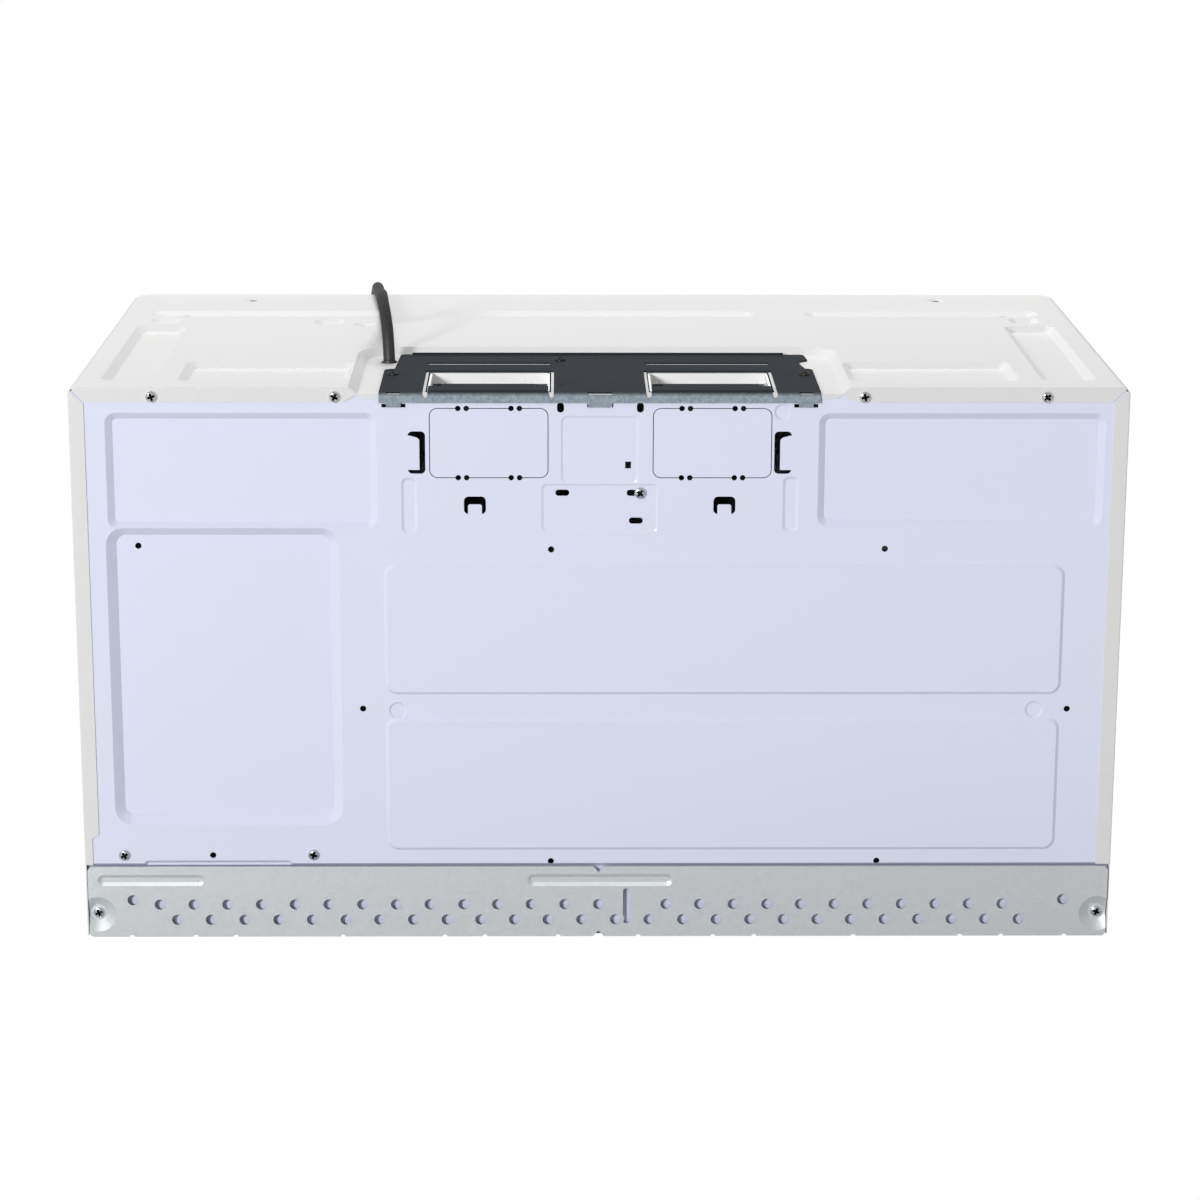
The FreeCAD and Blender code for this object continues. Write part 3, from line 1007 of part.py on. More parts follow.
def latch_slots(back0, back1):
    """Openings for the two latch hooks and their travel."""
    return [block(LATCH_X - 3, LATCH_X + 3.5, back0, back1, z - 10, z + 12) for z in LATCH_Z]


def door_frame():
    """The door's steel pan, with hinge blocks, latch guides and the window's screen."""
    x0, x1 = DOOR_X0 + 3, DOOR_X1 - 3
    z0, z1 = DOOR_Z0 + 3, DOOR_Z1 - 3
    pan = block(x0, x1, PAN_BACK, PAN_FRONT, z0, z1).cut(
        block(x0 + 1, x1 - 1, PAN_BACK + 1, PAN_FRONT + 1, z0 + 1, z1 - 1))
    window = block(x0 + 74, x1 - 105, PAN_BACK - 1, PAN_BACK + 2, z0 + 78.5, z1 - 72.5)
    screen = block(x0 + 72, x1 - 103, PAN_BACK + 1.0, PAN_BACK + 1.6, z0 + 76.5, z1 - 70.5)
    pieces = [pan.cut(window), screen]
    for z_low, z_high in ((z0 + 0.9, z0 + 16), (z1 - 16, z1 - 0.9)):
        pieces.append(block(x0 + 0.9, HINGE_X + 7, HINGE_BACK - 7, HINGE_BACK + 3, z_low, z_high))
        pieces.append(block(x0 + 0.9, HINGE_X + 7, PAN_BACK + 0.9, HINGE_BACK, z_low, z_high))
    low, high = LATCH_Z
    guides = ((low + 35, low + 45), (high - 45, high - 35),
              (low - 26, low - 20 - LOOSE), (high + 42, high + 46))
    for z_low, z_high in guides:
        pieces.append(block(LATCH_X - 6, LATCH_X + 6, PAN_BACK + 0.9, LATCH_BACK + 7, z_low, z_high))
    body = fused(pieces)
    cutters = latch_slots(PAN_BACK - 1, PAN_BACK + 3)
    half, deep = 1.5 + LOOSE, 4 + LOOSE
    back0, back1 = LATCH_BACK - deep, LATCH_BACK + deep
    cutters.append(block(LATCH_X - half, LATCH_X + half, back0, back1, low + 30, high - 30))
    for z in (DOOR_Z0, DOOR_Z1 - 18):
        cutters.append(rod(HINGE_X, HINGE_BACK, z, Z_AXIS, PIN_R + RUN_GAP, 18))
    return drilled(body, cutters)


def door_choke_cover():
    """The plastic frame that closes the choke channel round the door's inner face."""
    outer = block(DOOR_X0 + 11, DOOR_X1 - 9, COVER_BACK, PAN_BACK, DOOR_Z0 + 9, DOOR_Z1 - 9)
    outer = outer.makeFillet(6.0, [e for e in outer.Edges if abs(e.BoundBox.YLength - 2.2) < 0.01])
    x0, x1, z0, z1 = CAVITY_X0 + 36, CAVITY_X1 - 66, DOOR_Z0 + 69.5, DOOR_Z1 - 63.5
    opening = block(x0, x1, COVER_BACK - 1, PAN_BACK + 1, z0, z1)
    opening = opening.makeFillet(8.0, [e for e in opening.Edges if abs(e.BoundBox.YLength - 4.2) < 0.01])
    return drilled(outer.cut(opening), latch_slots(COVER_BACK - 1, PAN_BACK + 1))


def fascia_block(inset, back):
    body = block(DOOR_X0 + inset, DOOR_X1 - inset, back, FRONT - inset * 1.2, DOOR_Z0 + inset, DOOR_Z1 - inset)
    edges = [e for e in body.Edges if abs(e.BoundBox.YMin - (REAR - FRONT + inset * 1.2)) < 0.01
             and abs(e.BoundBox.YMax - (REAR - FRONT + inset * 1.2)) < 0.01]
    return body.makeFillet(4.0 - inset * 0.8, edges)


def door_outer_panel():
    """The white front of the door, a shell with a stepped window opening."""
    body = fascia_block(0, FASCIA_BACK).cut(fascia_block(FASCIA_WALL, FASCIA_BACK - 5))
    cx, cz = (GLASS_X0 + GLASS_X1) / 2, (GLASS_Z0 + GLASS_Z1) / 2
    seat = on_rear(slab(GLASS_X1 - GLASS_X0, GLASS_Z1 - GLASS_Z0, 6.0, 10), cx, cz, FRONT + 10 - GLASS_T)
    view = on_rear(slab(GLASS_X1 - GLASS_X0 - 16, GLASS_Z1 - GLASS_Z0 - 16, 4.0, 20), cx, cz, FRONT + 5)
    cutters = [seat, view, rod(HINGE_X, HINGE_BACK, DOOR_Z0 - 1, Z_AXIS, 4.5, 5),
               rod(HINGE_X, HINGE_BACK, DOOR_Z1 - 4, Z_AXIS, 4.5, 5)]
    for z in HANDLE_FEET:
        cutters.append(rod(HANDLE_X, FRONT + 1, z, Y_AXIS, SCREW_HOLE_R, 10))
    return drilled(body, cutters)


def door_window():
    """The dark glass, flush with the door's front and resting on the opening's step."""
    cx, cz = (GLASS_X0 + GLASS_X1) / 2, (GLASS_Z0 + GLASS_Z1) / 2
    return on_rear(slab(GLASS_X1 - GLASS_X0 - 0.4, GLASS_Z1 - GLASS_Z0 - 0.4, 5.8, GLASS_T), cx, cz, FRONT)


def door_handle():
    """A bowed grip, thick at its two feet."""
    middle = (HANDLE_Z0 + HANDLE_Z1) / 2
    reach = FRONT + HANDLE_REACH
    low, high = point(0, FRONT, HANDLE_Z0), point(0, FRONT, HANDLE_Z1)
    inner_low, inner_high = point(0, FRONT, HANDLE_Z0 + 30), point(0, FRONT, HANDLE_Z1 - 30)
    sides = [Part.Arc(low, point(0, reach, middle), high), Part.LineSegment(high, inner_high),
             Part.Arc(inner_high, point(0, reach - 13, middle), inner_low), Part.LineSegment(inner_low, low)]
    face = Part.Face(Part.Wire([side.toShape() for side in sides]))
    body = face.extrude(FreeCAD.Vector(HANDLE_W, 0, 0))
    body.translate(FreeCAD.Vector(HANDLE_X - HANDLE_W / 2, 0, 0))
    body = body.makeFillet(4.5, [e for e in body.Edges if e.Length > 150])
    holes = [rod(HANDLE_X, FRONT + 10, z, Y_AXIS, SHANK_R, 12) for z in HANDLE_FEET]
    return drilled(body, holes)


def door_latch():
    """The sliding latch: an upright bar with two nosed hooks that reach into the front frame."""
    x0, x1 = LATCH_X - 1.5, LATCH_X + 1.5
    b = LATCH_BACK
    pieces = [block(x0, x1, b - 4, b + 4, LATCH_Z[0] - 20, LATCH_Z[1] + 20)]
    for z in LATCH_Z:
        side = ((3.5, -4), (3.5, 5), (26, 5), (31, 1), (29, -7), (23, -7), (22, -3))
        hook = [point(x0, b - reach, z + rise) for reach, rise in side]
        pieces.append(Part.Face(Part.makePolygon(hook + hook[:1])).extrude(FreeCAD.Vector(3.0, 0, 0)))
    return fused(pieces)


def latch_spring():
    """The latch's return spring, as the sleeve that it fills."""
    foot = LATCH_Z[1] + 20
    inside = rod(LATCH_X, LATCH_BACK, foot - 1, Z_AXIS, 2.6, 24)
    return rod(LATCH_X, LATCH_BACK, foot, Z_AXIS, 3.6, 22).cut(inside)


def hinge(upper):
    """A leaf on the front frame, with the door's pin."""
    z = DOOR_Z1 + 1.0 if upper else DOOR_Z0 - 1.0 - 1.8
    leaf = block(HINGE_X - 8, HINGE_X + 22, FRAME_FACE, HINGE_BACK + 7, z, z + 1.8)
    leaf = leaf.makeFillet(6.0, [e for e in leaf.Edges if e.BoundBox.ZLength > 1
                                 and e.CenterOfMass.y < REAR - HINGE_BACK])
    pin = rod(HINGE_X, HINGE_BACK, z - 14 if upper else z + 1.7, Z_AXIS, PIN_R, 14.1)
    return fused([leaf, pin])


def interlock_bracket():
    """A folded bracket behind the front frame that holds the three door switches."""
    low, high = LATCH_Z
    plate = block(LATCH_X + 12.5, LATCH_X + 14, LATCH_BACK - 58, SIDE_DEPTH, low - 14, high + 16)
    flange = block(LATCH_X + 7, LATCH_X + 14, SIDE_DEPTH - 1.5, SIDE_DEPTH, low + 16, high - 14)
    return fused([plate, flange])


def interlock_switches():
    """Three snap-action switches beside the hooks' path."""
    low, high = LATCH_Z
    return [block(LATCH_X + 3, LATCH_X + 12.5, LATCH_BACK - 54, LATCH_BACK - 26, z, z + 16)
            for z in (low + 20, (low + high) / 2 - 6, high - 32)]


# ---- controls -------------------------------------------------------------------------------------

PANEL_X0 = DOOR_X1 + 3.0
PANEL_X1 = INNER_HALF - 1.2
BOARD_BACK = FRONT - 15.0


def control_housing():
    """The moulded control panel: a shell with posts for its board and a seat for the glass."""
    body = block(PANEL_X0, PANEL_X1, FRAME_FACE, FRONT, DOOR_Z0, DOOR_Z1)
    front = [e for e in body.Edges if abs(e.BoundBox.YMin - (REAR - FRONT)) < 0.01
             and abs(e.BoundBox.YMax - (REAR - FRONT)) < 0.01]
    body = body.makeFillet(4.0, front)
    x0, x1, z0, z1 = PANEL_X0, PANEL_X1, DOOR_Z0, DOOR_Z1
    body = body.cut(block(x0 + 2.5, x1 - 2.5, FRAME_FACE - 1, FRONT - 5.0, z0 + 2.5, z1 - 2.5))
    body = body.cut(block(x0 + 5, x1 - 5, FRONT - GLASS_T, FRONT + 1, z0 + 5, z1 - 5))
    posts = []
    for x in (PANEL_X0 + 20, PANEL_X1 - 20):
        for z in (100, (DOOR_Z1 + 76.5) / 2, DOOR_Z1 - 23.5):
            posts.append(rod(x, FRONT - 4.9, z, Y_AXIS, 4.0, FRONT - 4.9 - BOARD_BACK - 1.6))
    return fused([body] + posts)


def control_glass():
    """The touch glass, flush in its seat."""
    return block(PANEL_X0 + 5.2, PANEL_X1 - 5.2, FRONT - GLASS_T, FRONT, DOOR_Z0 + 5.2, DOOR_Z1 - 5.2)


def control_board():
    """The printed board on its posts, with the display, relays and a transformer."""
    b, z1 = BOARD_BACK, DOOR_Z1
    pieces = [block(PANEL_X0 + 12, PANEL_X1 - 12, b, b + 1.6, 90, z1 - 13.5)]
    pieces.append(block(PANEL_X0 + 45, PANEL_X1 - 45, b + 1.5, b + 8.4, z1 - 68.5, z1 - 33.5))
    for k in range(3):
        x = PANEL_X0 + 30 + 30 * k
        pieces.append(block(x, x + 20, b - 16, b + 0.1, 120, 148))
    pieces.append(block(PANEL_X0 + 120, PANEL_X0 + 155, b - 22, b + 0.1, 180, 215))
    return fused(pieces)


# ---- power cord -----------------------------------------------------------------------------------

def cord_tube():
    """The cord along its route: straight runs joined by tangent arcs, with its volume check."""
    stops = [point(*stop) for stop in CORD_ROUTE]
    edges = []
    radii = []
    last = stops[0]
    for before, corner, after in zip(stops, stops[1:], stops[2:]):
        a, b = before - corner, after - corner
        run = min(a.Length, b.Length)
        turn = math.pi - a.getAngle(b)
        reach = 0.45 * run
        start = corner + a.normalize() * reach
        end = corner + b.normalize() * reach
        radius = reach / math.tan(turn / 2)
        radii.append(radius)
        centre_way = (a + b).normalize()
        middle = corner + centre_way * (radius / math.cos(turn / 2) - radius)
        edges.append(Part.LineSegment(last, start).toShape())
        edges.append(Part.Arc(start, middle, end).toShape())
        last = end
    edges.append(Part.LineSegment(last, stops[-1]).toShape())
    path = Part.Wire(edges)
    way = (stops[1] - stops[0]).normalize()
    ring = Part.Wire(Part.makeCircle(CORD_D / 2, stops[0], way))
    tube = path.makePipeShell([ring], True, False)
    tube = tube if tube.ShapeType == "Solid" else Part.Solid(tube)
    expected = math.pi * CORD_D ** 2 / 4 * path.Length
    print("cord radii", [round(r) for r in radii])
    print("cord length", round(path.Length, 1), "volume share", round(abs(tube.Volume) / expected, 4))
    return tube


def strain_relief():
    """A leaning bush, snapped into the top sheet and tapering down inside the case."""
    x, back, z = CORD_ROUTE[0]
    way = (point(*CORD_ROUTE[1]) - point(x, back, z)).normalize()
    start = point(x, back, FLOOR + BUSH_RISE)
    neck = Part.makeCylinder(BUSH_R, 6.5, start - way * 7.0, way)
    collar = Part.makeCylinder(BUSH_R + 3.0, 2.6, start - way * 7.6, way)
    taper = Part.makeCone(CORD_D / 2 + 0.6, BUSH_R + 0.8, 24.0, start - way * 31.0, way)
    return fused([neck, collar, taper])


PLUG_L = 34.0


def power_plug():
    """A three-pin plug lying on its flat side, its neck on the cord's end."""
    end, before = point(*CORD_ROUTE[-1]), point(*CORD_ROUTE[-2])
    z = end.z
    neck = Part.makeCone(CORD_D / 2 + 0.4, CORD_D / 2 + 3.0, 14.0, FreeCAD.Vector(0, 0, 0), X_AXIS)
    body = Part.makeBox(PLUG_L - 12, 32, 22, FreeCAD.Vector(12, -16, -z + 0.2))
    body = body.makeFillet(5.0, [e for e in body.Edges if e.BoundBox.XLength > 1 or e.CenterOfMass.x < 13])
    pieces = [neck, body]
    for y in (-6.35, 6.35):
        pieces.append(Part.makeBox(17.5, 1.5, 6.3, FreeCAD.Vector(PLUG_L - 1, y - 0.75, 10.4 - z)))
    pieces.append(Part.makeCylinder(2.4, 20.0, FreeCAD.Vector(PLUG_L - 1, 0, 5.2 - z), X_AXIS))
    plug = fused(pieces)
    way = end - before
    plug.rotate(FreeCAD.Vector(0, 0, 0), Z_AXIS, math.degrees(math.atan2(way.y, way.x)))
    plug.translate(end)
    return plug


# ---- fasteners ---------------------------------------------------------------------------------------

def fasteners():
    """Each kind of screw, as groups of separate solids."""
    out = Y_AXIS
    grille_z = HEIGHT - DIMPLE_DEEP
    case = [pan_screw(point(side * x, 0, HEIGHT - 7.2), out, 6.0) for side in (1, -1) for x in FLANGE_SCREW_X]
    rear = [pan_screw(point(x, SHEET, z), out, 6.0) for x, z in REAR_SCREWS]
    plate = [pan_screw(point(side * DISH_X, SHEET + JOGGLE - PLATE, DISH_Z), out, 6.0) for side in (1, -1)]
    exhaust = [pan_screw(point(x, back, FLOOR + PLATE), Z_AXIS, 6.0, 4.0, 2.0) for x, back in EXHAUST_SCREWS]
    grille = [pan_screw(point(side * GRILLE_SCREW_X, GRILLE_SCREW_BACK, grille_z), Z_AXIS, 7.0, 3.6, 1.6)
              for side in (1, -1)]
    handle = [pan_screw(point(HANDLE_X, FRONT - FASCIA_WALL * 1.2, z), out, 11.0) for z in HANDLE_FEET]
    return {"case_screws": case, "rear_screws": rear, "plate_screws": plate, "exhaust_screws": exhaust,
            "grille_screws": grille, "handle_screws": handle}


export("outer_wrap", outer_wrap())
export("rear_panel", rear_panel())
export("mounting_plate", mounting_plate())
export("exhaust_plate", exhaust_plate())
export("base_plate", base_plate())
export("grease_filter_right", grease_filter(FILTER_X[0]))
export("grease_filter_left", grease_filter(FILTER_X[1]))
export("cooktop_lamp_cover", cooktop_lamp_cover())
export("cooktop_lamp", cooktop_lamp())
export("oven_cavity", oven_cavity())
export("front_frame", front_frame())
export("turntable_motor", turntable_motor())
export("turntable_coupler", turntable_coupler())
export("glass_tray", glass_tray())
export("roller_ring", roller_ring())
for index in range(3):
    export("ring_roller_%d" % (index + 1), ring_roller(index))
export("waveguide_cover", waveguide_cover())
export("waveguide", waveguide())
export("magnetron", magnetron())
export("hv_transformer", hv_transformer())
export("hv_capacitor", hv_capacitor())
export("cooling_fan_shroud", cooling_fan_shroud())
export("cooling_fan_motor", cooling_fan_motor())
export("cooling_fan_blade", cooling_fan_blade())
export("noise_filter_board", noise_filter_board())
export("oven_lamp", oven_lamp())
export("blower_housing", blower_housing())
export("blower_motor", blower_motor())
export("blower_wheels", blower_wheels())
export("vent_grille", vent_grille())
export("charcoal_filter", charcoal_filter())
export("door_frame", door_frame())
export("door_choke_cover", door_choke_cover())
export("door_outer_panel", door_outer_panel())
export("door_window", door_window())
export("door_handle", door_handle())
export("door_latch", door_latch())
export("latch_spring", latch_spring())
export("upper_hinge", hinge(True))
export("lower_hinge", hinge(False))
export("interlock_bracket", interlock_bracket())
export("interlock_switches", Part.makeCompound(interlock_switches()))
export("control_housing", control_housing())
export("control_glass", control_glass())
export("control_board", control_board())
export("power_cord", cord_tube())
export("strain_relief", strain_relief())
export("power_plug", power_plug())
for screw_name, screws in fasteners().items():
    export(screw_name, Part.makeCompound(screws))
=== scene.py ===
"""An over-the-range microwave, seen from the wall side: its pressed rear panel, the black exhaust
plate on top and the perforated wall plate at the foot."""
import json
import math

import bmesh
import bpy
import numpy as np
from mathutils import Matrix, Vector


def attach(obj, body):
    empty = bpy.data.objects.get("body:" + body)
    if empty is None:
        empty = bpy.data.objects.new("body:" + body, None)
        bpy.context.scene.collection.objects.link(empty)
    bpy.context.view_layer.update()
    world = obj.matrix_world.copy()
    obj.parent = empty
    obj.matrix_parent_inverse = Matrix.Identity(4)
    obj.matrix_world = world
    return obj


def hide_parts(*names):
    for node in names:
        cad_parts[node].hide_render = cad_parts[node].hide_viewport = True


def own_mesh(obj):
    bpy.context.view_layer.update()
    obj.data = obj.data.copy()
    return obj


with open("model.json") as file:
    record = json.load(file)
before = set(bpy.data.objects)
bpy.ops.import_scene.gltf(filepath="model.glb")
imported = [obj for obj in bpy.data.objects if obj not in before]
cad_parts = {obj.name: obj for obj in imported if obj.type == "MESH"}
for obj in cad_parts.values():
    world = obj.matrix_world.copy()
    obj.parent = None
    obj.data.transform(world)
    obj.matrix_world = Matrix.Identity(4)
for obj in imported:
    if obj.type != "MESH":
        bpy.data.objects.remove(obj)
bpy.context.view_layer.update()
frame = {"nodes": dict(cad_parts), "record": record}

# The case's rear face, which hangs on the wall, and its top.
wall_y, top_z = 0.2204, 0.416

# ---- Camera --------------------------------------------------------------------------------------
# The photograph looks at the wall side from two and a half metres away, a little above the top
# sheet, through a long lens. Place, turn and lens were solved from the case's measured edges.
stand = Vector((0.02935, 2.58205, 0.87937))
pitch, yaw, roll = (math.radians(angle) for angle in (14.718, -0.722, 0.172))
look = Vector((math.sin(yaw) * math.cos(pitch), -math.cos(yaw) * math.cos(pitch),
               -math.sin(pitch)))
level = look.cross(Vector((0, 0, 1))).normalized()
raised = level.cross(look)
right = level * math.cos(roll) + raised * math.sin(roll)
up = raised * math.cos(roll) - level * math.sin(roll)
camera_data = bpy.data.cameras.new("long_lens")
camera_data.lens, camera_data.sensor_width, camera_data.clip_end = 101.03, 36.0, 60.0
camera = bpy.data.objects.new("long_lens", camera_data)
camera.matrix_world = Matrix((
    (right.x, up.x, -look.x, stand.x), (right.y, up.y, -look.y, stand.y),
    (right.z, up.z, -look.z, stand.z), (0, 0, 0, 1)))
bpy.context.scene.collection.objects.link(camera)
bpy.context.scene.camera = camera

# ---- Power cord ----------------------------------------------------------------------------------
# A round black rubber mains cord, 0.85 m long, as these ovens have for a socket in the
# cabinet above. It rises from the top sheet, lies over it and hangs down the front.
cord_route = [
    (0.1562, 0.0984, 0.4120), (0.1569, 0.0930, 0.4286), (0.1594, 0.0805, 0.4435),
    (0.1626, 0.0631, 0.4524), (0.1643, 0.0436, 0.4538), (0.1646, 0.0251, 0.4478),
    (0.1643, 0.0073, 0.4358), (0.1644, -0.0165, 0.4254), (0.1662, -0.0483, 0.4212),
    (0.1690, -0.0826, 0.4209), (0.1726, -0.1196, 0.4210), (0.1764, -0.1576, 0.4212),
    (0.1795, -0.1871, 0.4213), (0.1816, -0.2065, 0.4133), (0.1836, -0.2214, 0.3985),
    (0.1858, -0.2295, 0.3791), (0.1880, -0.2298, 0.3440), (0.1902, -0.2261, 0.2860),
    (0.1904, -0.2202, 0.2100), (0.1892, -0.2152, 0.1360), (0.1900, -0.2132, 0.0800),
    (0.1915, -0.2131, 0.0420), (0.2036, -0.2126, 0.0186), (0.2265, -0.2106, 0.0050),
    (0.2580, -0.2066, 0.0049), (0.2910, -0.2041, 0.0052), (0.3160, -0.2046, 0.0078)]
cord_diameter = 0.0088


def fill(made, node, inputs):
    """Gives a shader node's inputs their values, each of which may be another node's output."""
    for key, value in inputs.items():
        if isinstance(value, bpy.types.NodeSocket):
            made.node_tree.links.new(value, node.inputs[key])
        else:
            node.inputs[key].default_value = value


def node_in(made, kind, inputs, **settings):
    """A new shader node of a material or a world, with its settings and its inputs' values."""
    node = made.node_tree.nodes.new("ShaderNode" + kind)
    for name, value in settings.items():
        setattr(node, name, value)
    fill(made, node, inputs)
    return node


def mixed(made, amount, first, second):
    """The second colour laid over the first by an amount. Either may be a node's output."""
    first, second = ((*colour, 1) if isinstance(colour, tuple) else colour
                     for colour in (first, second))
    return node_in(made, "Mix", {0: amount, 6: first, 7: second}, data_type="RGBA").outputs[2]


def shaded(made, inputs):
    """A finish whose shader has these inputs."""
    fill(made, made.node_tree.nodes["Principled BSDF"], inputs)
    return made


def finish(name, colour, shade, spread=12.0, metallic=0.0, rough=(0.4, 0.5), grain=0.0,
           grain_scale=400.0, depth=0.0002, coat=0.0, stretch=(1, 1, 1), spangle=False):
    """A finish on Object coordinates. Its colour drifts to its shade over a soft noise, or from
    crystal to crystal where it has a spangle, its roughness follows, and a finer noise is its
    grain."""
    made = bpy.data.materials.new(name)
    made.use_nodes = True
    place = node_in(made, "TexCoord", {}).outputs["Object"]
    place = node_in(made, "Mapping", {"Vector": place, "Scale": stretch}).outputs["Vector"]
    if spangle:
        crystals = node_in(made, "TexVoronoi", {"Vector": place, "Scale": spread})
        amount = node_in(made, "RGBToBW", {0: crystals.outputs["Color"]}).outputs[0]
    else:
        drift = node_in(made, "TexNoise", {"Vector": place, "Scale": spread, "Detail": 3.0})
        amount = drift.outputs[0]
    gloss = node_in(made, "MapRange", {"Value": amount, "From Min": 0.25, "From Max": 0.75,
                                       "To Min": rough[0], "To Max": rough[1]})
    shaded(made, {"Base Color": mixed(made, amount, colour, shade),
                  "Roughness": gloss.outputs["Result"], "Metallic": metallic,
                  "Coat Weight": coat, "Coat Roughness": 0.12})
    if grain:
        fine = node_in(made, "TexNoise", {"Vector": place, "Scale": grain_scale, "Detail": 2.0})
        bump = node_in(made, "Bump", {"Height": fine.outputs[0], "Strength": grain,
                                      "Distance": depth})
        shaded(made, {"Normal": bump.outputs["Normal"]})
    return made


cord_rubber = finish("cord_rubber", (0.020, 0.020, 0.021), (0.034, 0.034, 0.035), 60.0,
                     rough=(0.42, 0.55), grain=0.25, grain_scale=900.0)
cord_curve = bpy.data.curves.new("mains_cord", "CURVE")
cord_curve.dimensions = "3D"
cord_line = cord_curve.splines.new("NURBS")
cord_line.points.add(len(cord_route) - 1)
for control, stop in zip(cord_line.points, cord_route):
    control.co = (*stop, 1)
cord_line.order_u = 3
cord_line.use_endpoint_u = True
cord_curve.resolution_u = 10
cord_curve.bevel_depth = cord_diameter / 2
cord_curve.bevel_resolution = 8
cord_curve.use_fill_caps = True
cord_curve.materials.append(cord_rubber)
mains_cord = bpy.data.objects.new("mains_cord", cord_curve)
bpy.context.scene.collection.objects.link(mains_cord)
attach(mains_cord, "housing")
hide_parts("power_cord")

# ---- Plug ----------------------------------------------------------------------------------------
# A moulded three-pin plug with a ribbed neck that bends with the cord, two flat brass blades and
# a round earth pin. It lies on its side, at the cord's end.
plug_start = np.array(cord_route[-1])
plug_way = plug_start - np.array(cord_route[-2])
plug_way[2] = 0
plug_way /= np.linalg.norm(plug_way)
plug_side = np.array([-plug_way[1], plug_way[0], 0])


def closed_rings(rings):
    """Vertices and faces of a solid whose surface is rings[i][j]: i runs along it, j runs round it
    and closes, and each end is a fan to the middle of its ring."""
    count, around = rings.shape[:2]
    ends = np.array([rings[0].mean(axis=0), rings[-1].mean(axis=0)])
    vertices = np.concatenate([rings.reshape(-1, 3), ends])
    i, j = np.meshgrid(np.arange(count - 1), np.arange(around), indexing="ij")
    nxt = (j + 1) % around
    quads = np.stack([i * around + j, i * around + nxt, (i + 1) * around + nxt,
                      (i + 1) * around + j], axis=-1)
    rim = np.arange(around)
    first = np.stack([np.full(around, count * around), (rim + 1) % around, rim], axis=-1)
    base = (count - 1) * around
    last = np.stack([np.full(around, count * around + 1), base + rim,
                     base + (rim + 1) % around], axis=-1)
    return vertices, quads.reshape(-1, 4).tolist() + first.tolist() + last.tolist()


def placed(name, mesh, form, material, body, crease):
    """The object of a mesh and its edited form. Its faces are smooth, except across an edge
    sharper than the crease."""
    for face in form.faces:
        face.smooth = True
    for edge in form.edges:
        edge.smooth = edge.calc_face_angle(0.0) < math.radians(crease)
    form.to_mesh(mesh)
    form.free()
    mesh.materials.clear()
    mesh.materials.append(material)
    made = bpy.data.objects.new(name, mesh)
    bpy.context.scene.collection.objects.link(made)
    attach(made, body)
    return made


def made_piece(name, solids, material, body, crease=35.0):
    """One object from several (vertices, faces) solids, joined as loose parts of one mesh whose
    faces point outwards."""
    vertices, faces, start = [], [], 0
    for points, polygons in solids:
        vertices.append(np.asarray(points))
        faces += [[index + start for index in polygon] for polygon in polygons]
        start += len(points)
    mesh = bpy.data.meshes.new(name)
    mesh.from_pydata(np.concatenate(vertices).tolist(), [], faces)
    form = bmesh.new()
    form.from_mesh(mesh)
    bmesh.ops.recalc_face_normals(form, faces=form.faces)
    return placed(name, mesh, form, material, body, crease)


def squared_rings(stations):
    """Rings of a rounded-square form along the plug. Each station is a distance, half a width and
    half a height, the height of its middle and the power of its outline's superellipse."""
    angle = np.linspace(0, 2 * np.pi, 64, endpoint=False)
    c, s = np.cos(angle), np.sin(angle)
    rings = []
    for distance, half_width, half_height, middle, power in stations:
        u = np.sign(c) * np.abs(c) ** (2 / power) * half_width
        v = np.sign(s) * np.abs(s) ** (2 / power) * half_height
        rings.append(plug_start * (1, 1, 0) + plug_way * distance + u[:, None] * plug_side
                     + (v[:, None] + middle) * np.array([0, 0, 1]))
    return np.array(rings)


neck_start, neck_length, neck_rings = -0.014, 0.026, 25
rib_height = 0.0007
neck_stations = []
for k in range(neck_rings):
    share = k / (neck_rings - 1)
    radius = 0.0052 + 0.0022 * share + (rib_height if k % 4 in (1, 2) else 0.0)
    distance = neck_start + neck_length * share
    climb = 0.104 if distance < 0 else 0.15
    neck_stations.append((distance, radius, radius * 0.96, 0.0078 + climb * distance, 2.0))
body_stations = [
    (0.0105, 0.0060, 0.0050, 0.0100, 2.2), (0.0115, 0.0100, 0.0070, 0.0108, 2.6),
    (0.0140, 0.0135, 0.0095, 0.0112, 3.2), (0.0180, 0.0155, 0.0106, 0.0112, 3.8),
    (0.0250, 0.0160, 0.0108, 0.0112, 4.0), (0.0290, 0.0158, 0.0107, 0.0112, 4.0),
    (0.0325, 0.0155, 0.0104, 0.0112, 4.0), (0.0336, 0.0146, 0.0096, 0.0112, 4.0),
    (0.0340, 0.0120, 0.0078, 0.0112, 4.0)]
plug_solids = [closed_rings(squared_rings(stations)) for stations in (neck_stations, body_stations)]
mains_plug = made_piece("mains_plug", plug_solids, cord_rubber, "housing")
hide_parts("power_plug")
brass = finish("blade_brass", (0.62, 0.50, 0.28), (0.50, 0.40, 0.22), 300.0, metallic=1.0,
               rough=(0.25, 0.38))
blade_offset = 0.00635
blade_stations = [(0.0330, 0.00075, 0.00315, 0.0136, 8.0), (0.0480, 0.00075, 0.00315, 0.0136, 8.0),
                  (0.0500, 0.00070, 0.00280, 0.0136, 6.0), (0.0508, 0.00040, 0.00200, 0.0136, 5.0)]
earth_stations = [(0.0330, 0.0024, 0.0024, 0.0052, 2.0), (0.0500, 0.0024, 0.0024, 0.0052, 2.0),
                  (0.0518, 0.0020, 0.0020, 0.0052, 2.0), (0.0528, 0.0010, 0.0010, 0.0052, 2.0)]
blades = [closed_rings(squared_rings(blade_stations) + plug_side * offset)
          for offset in (-blade_offset, blade_offset)]
blades.append(closed_rings(squared_rings(earth_stations)))
plug_blades = made_piece("plug_blades", blades, brass, "housing")

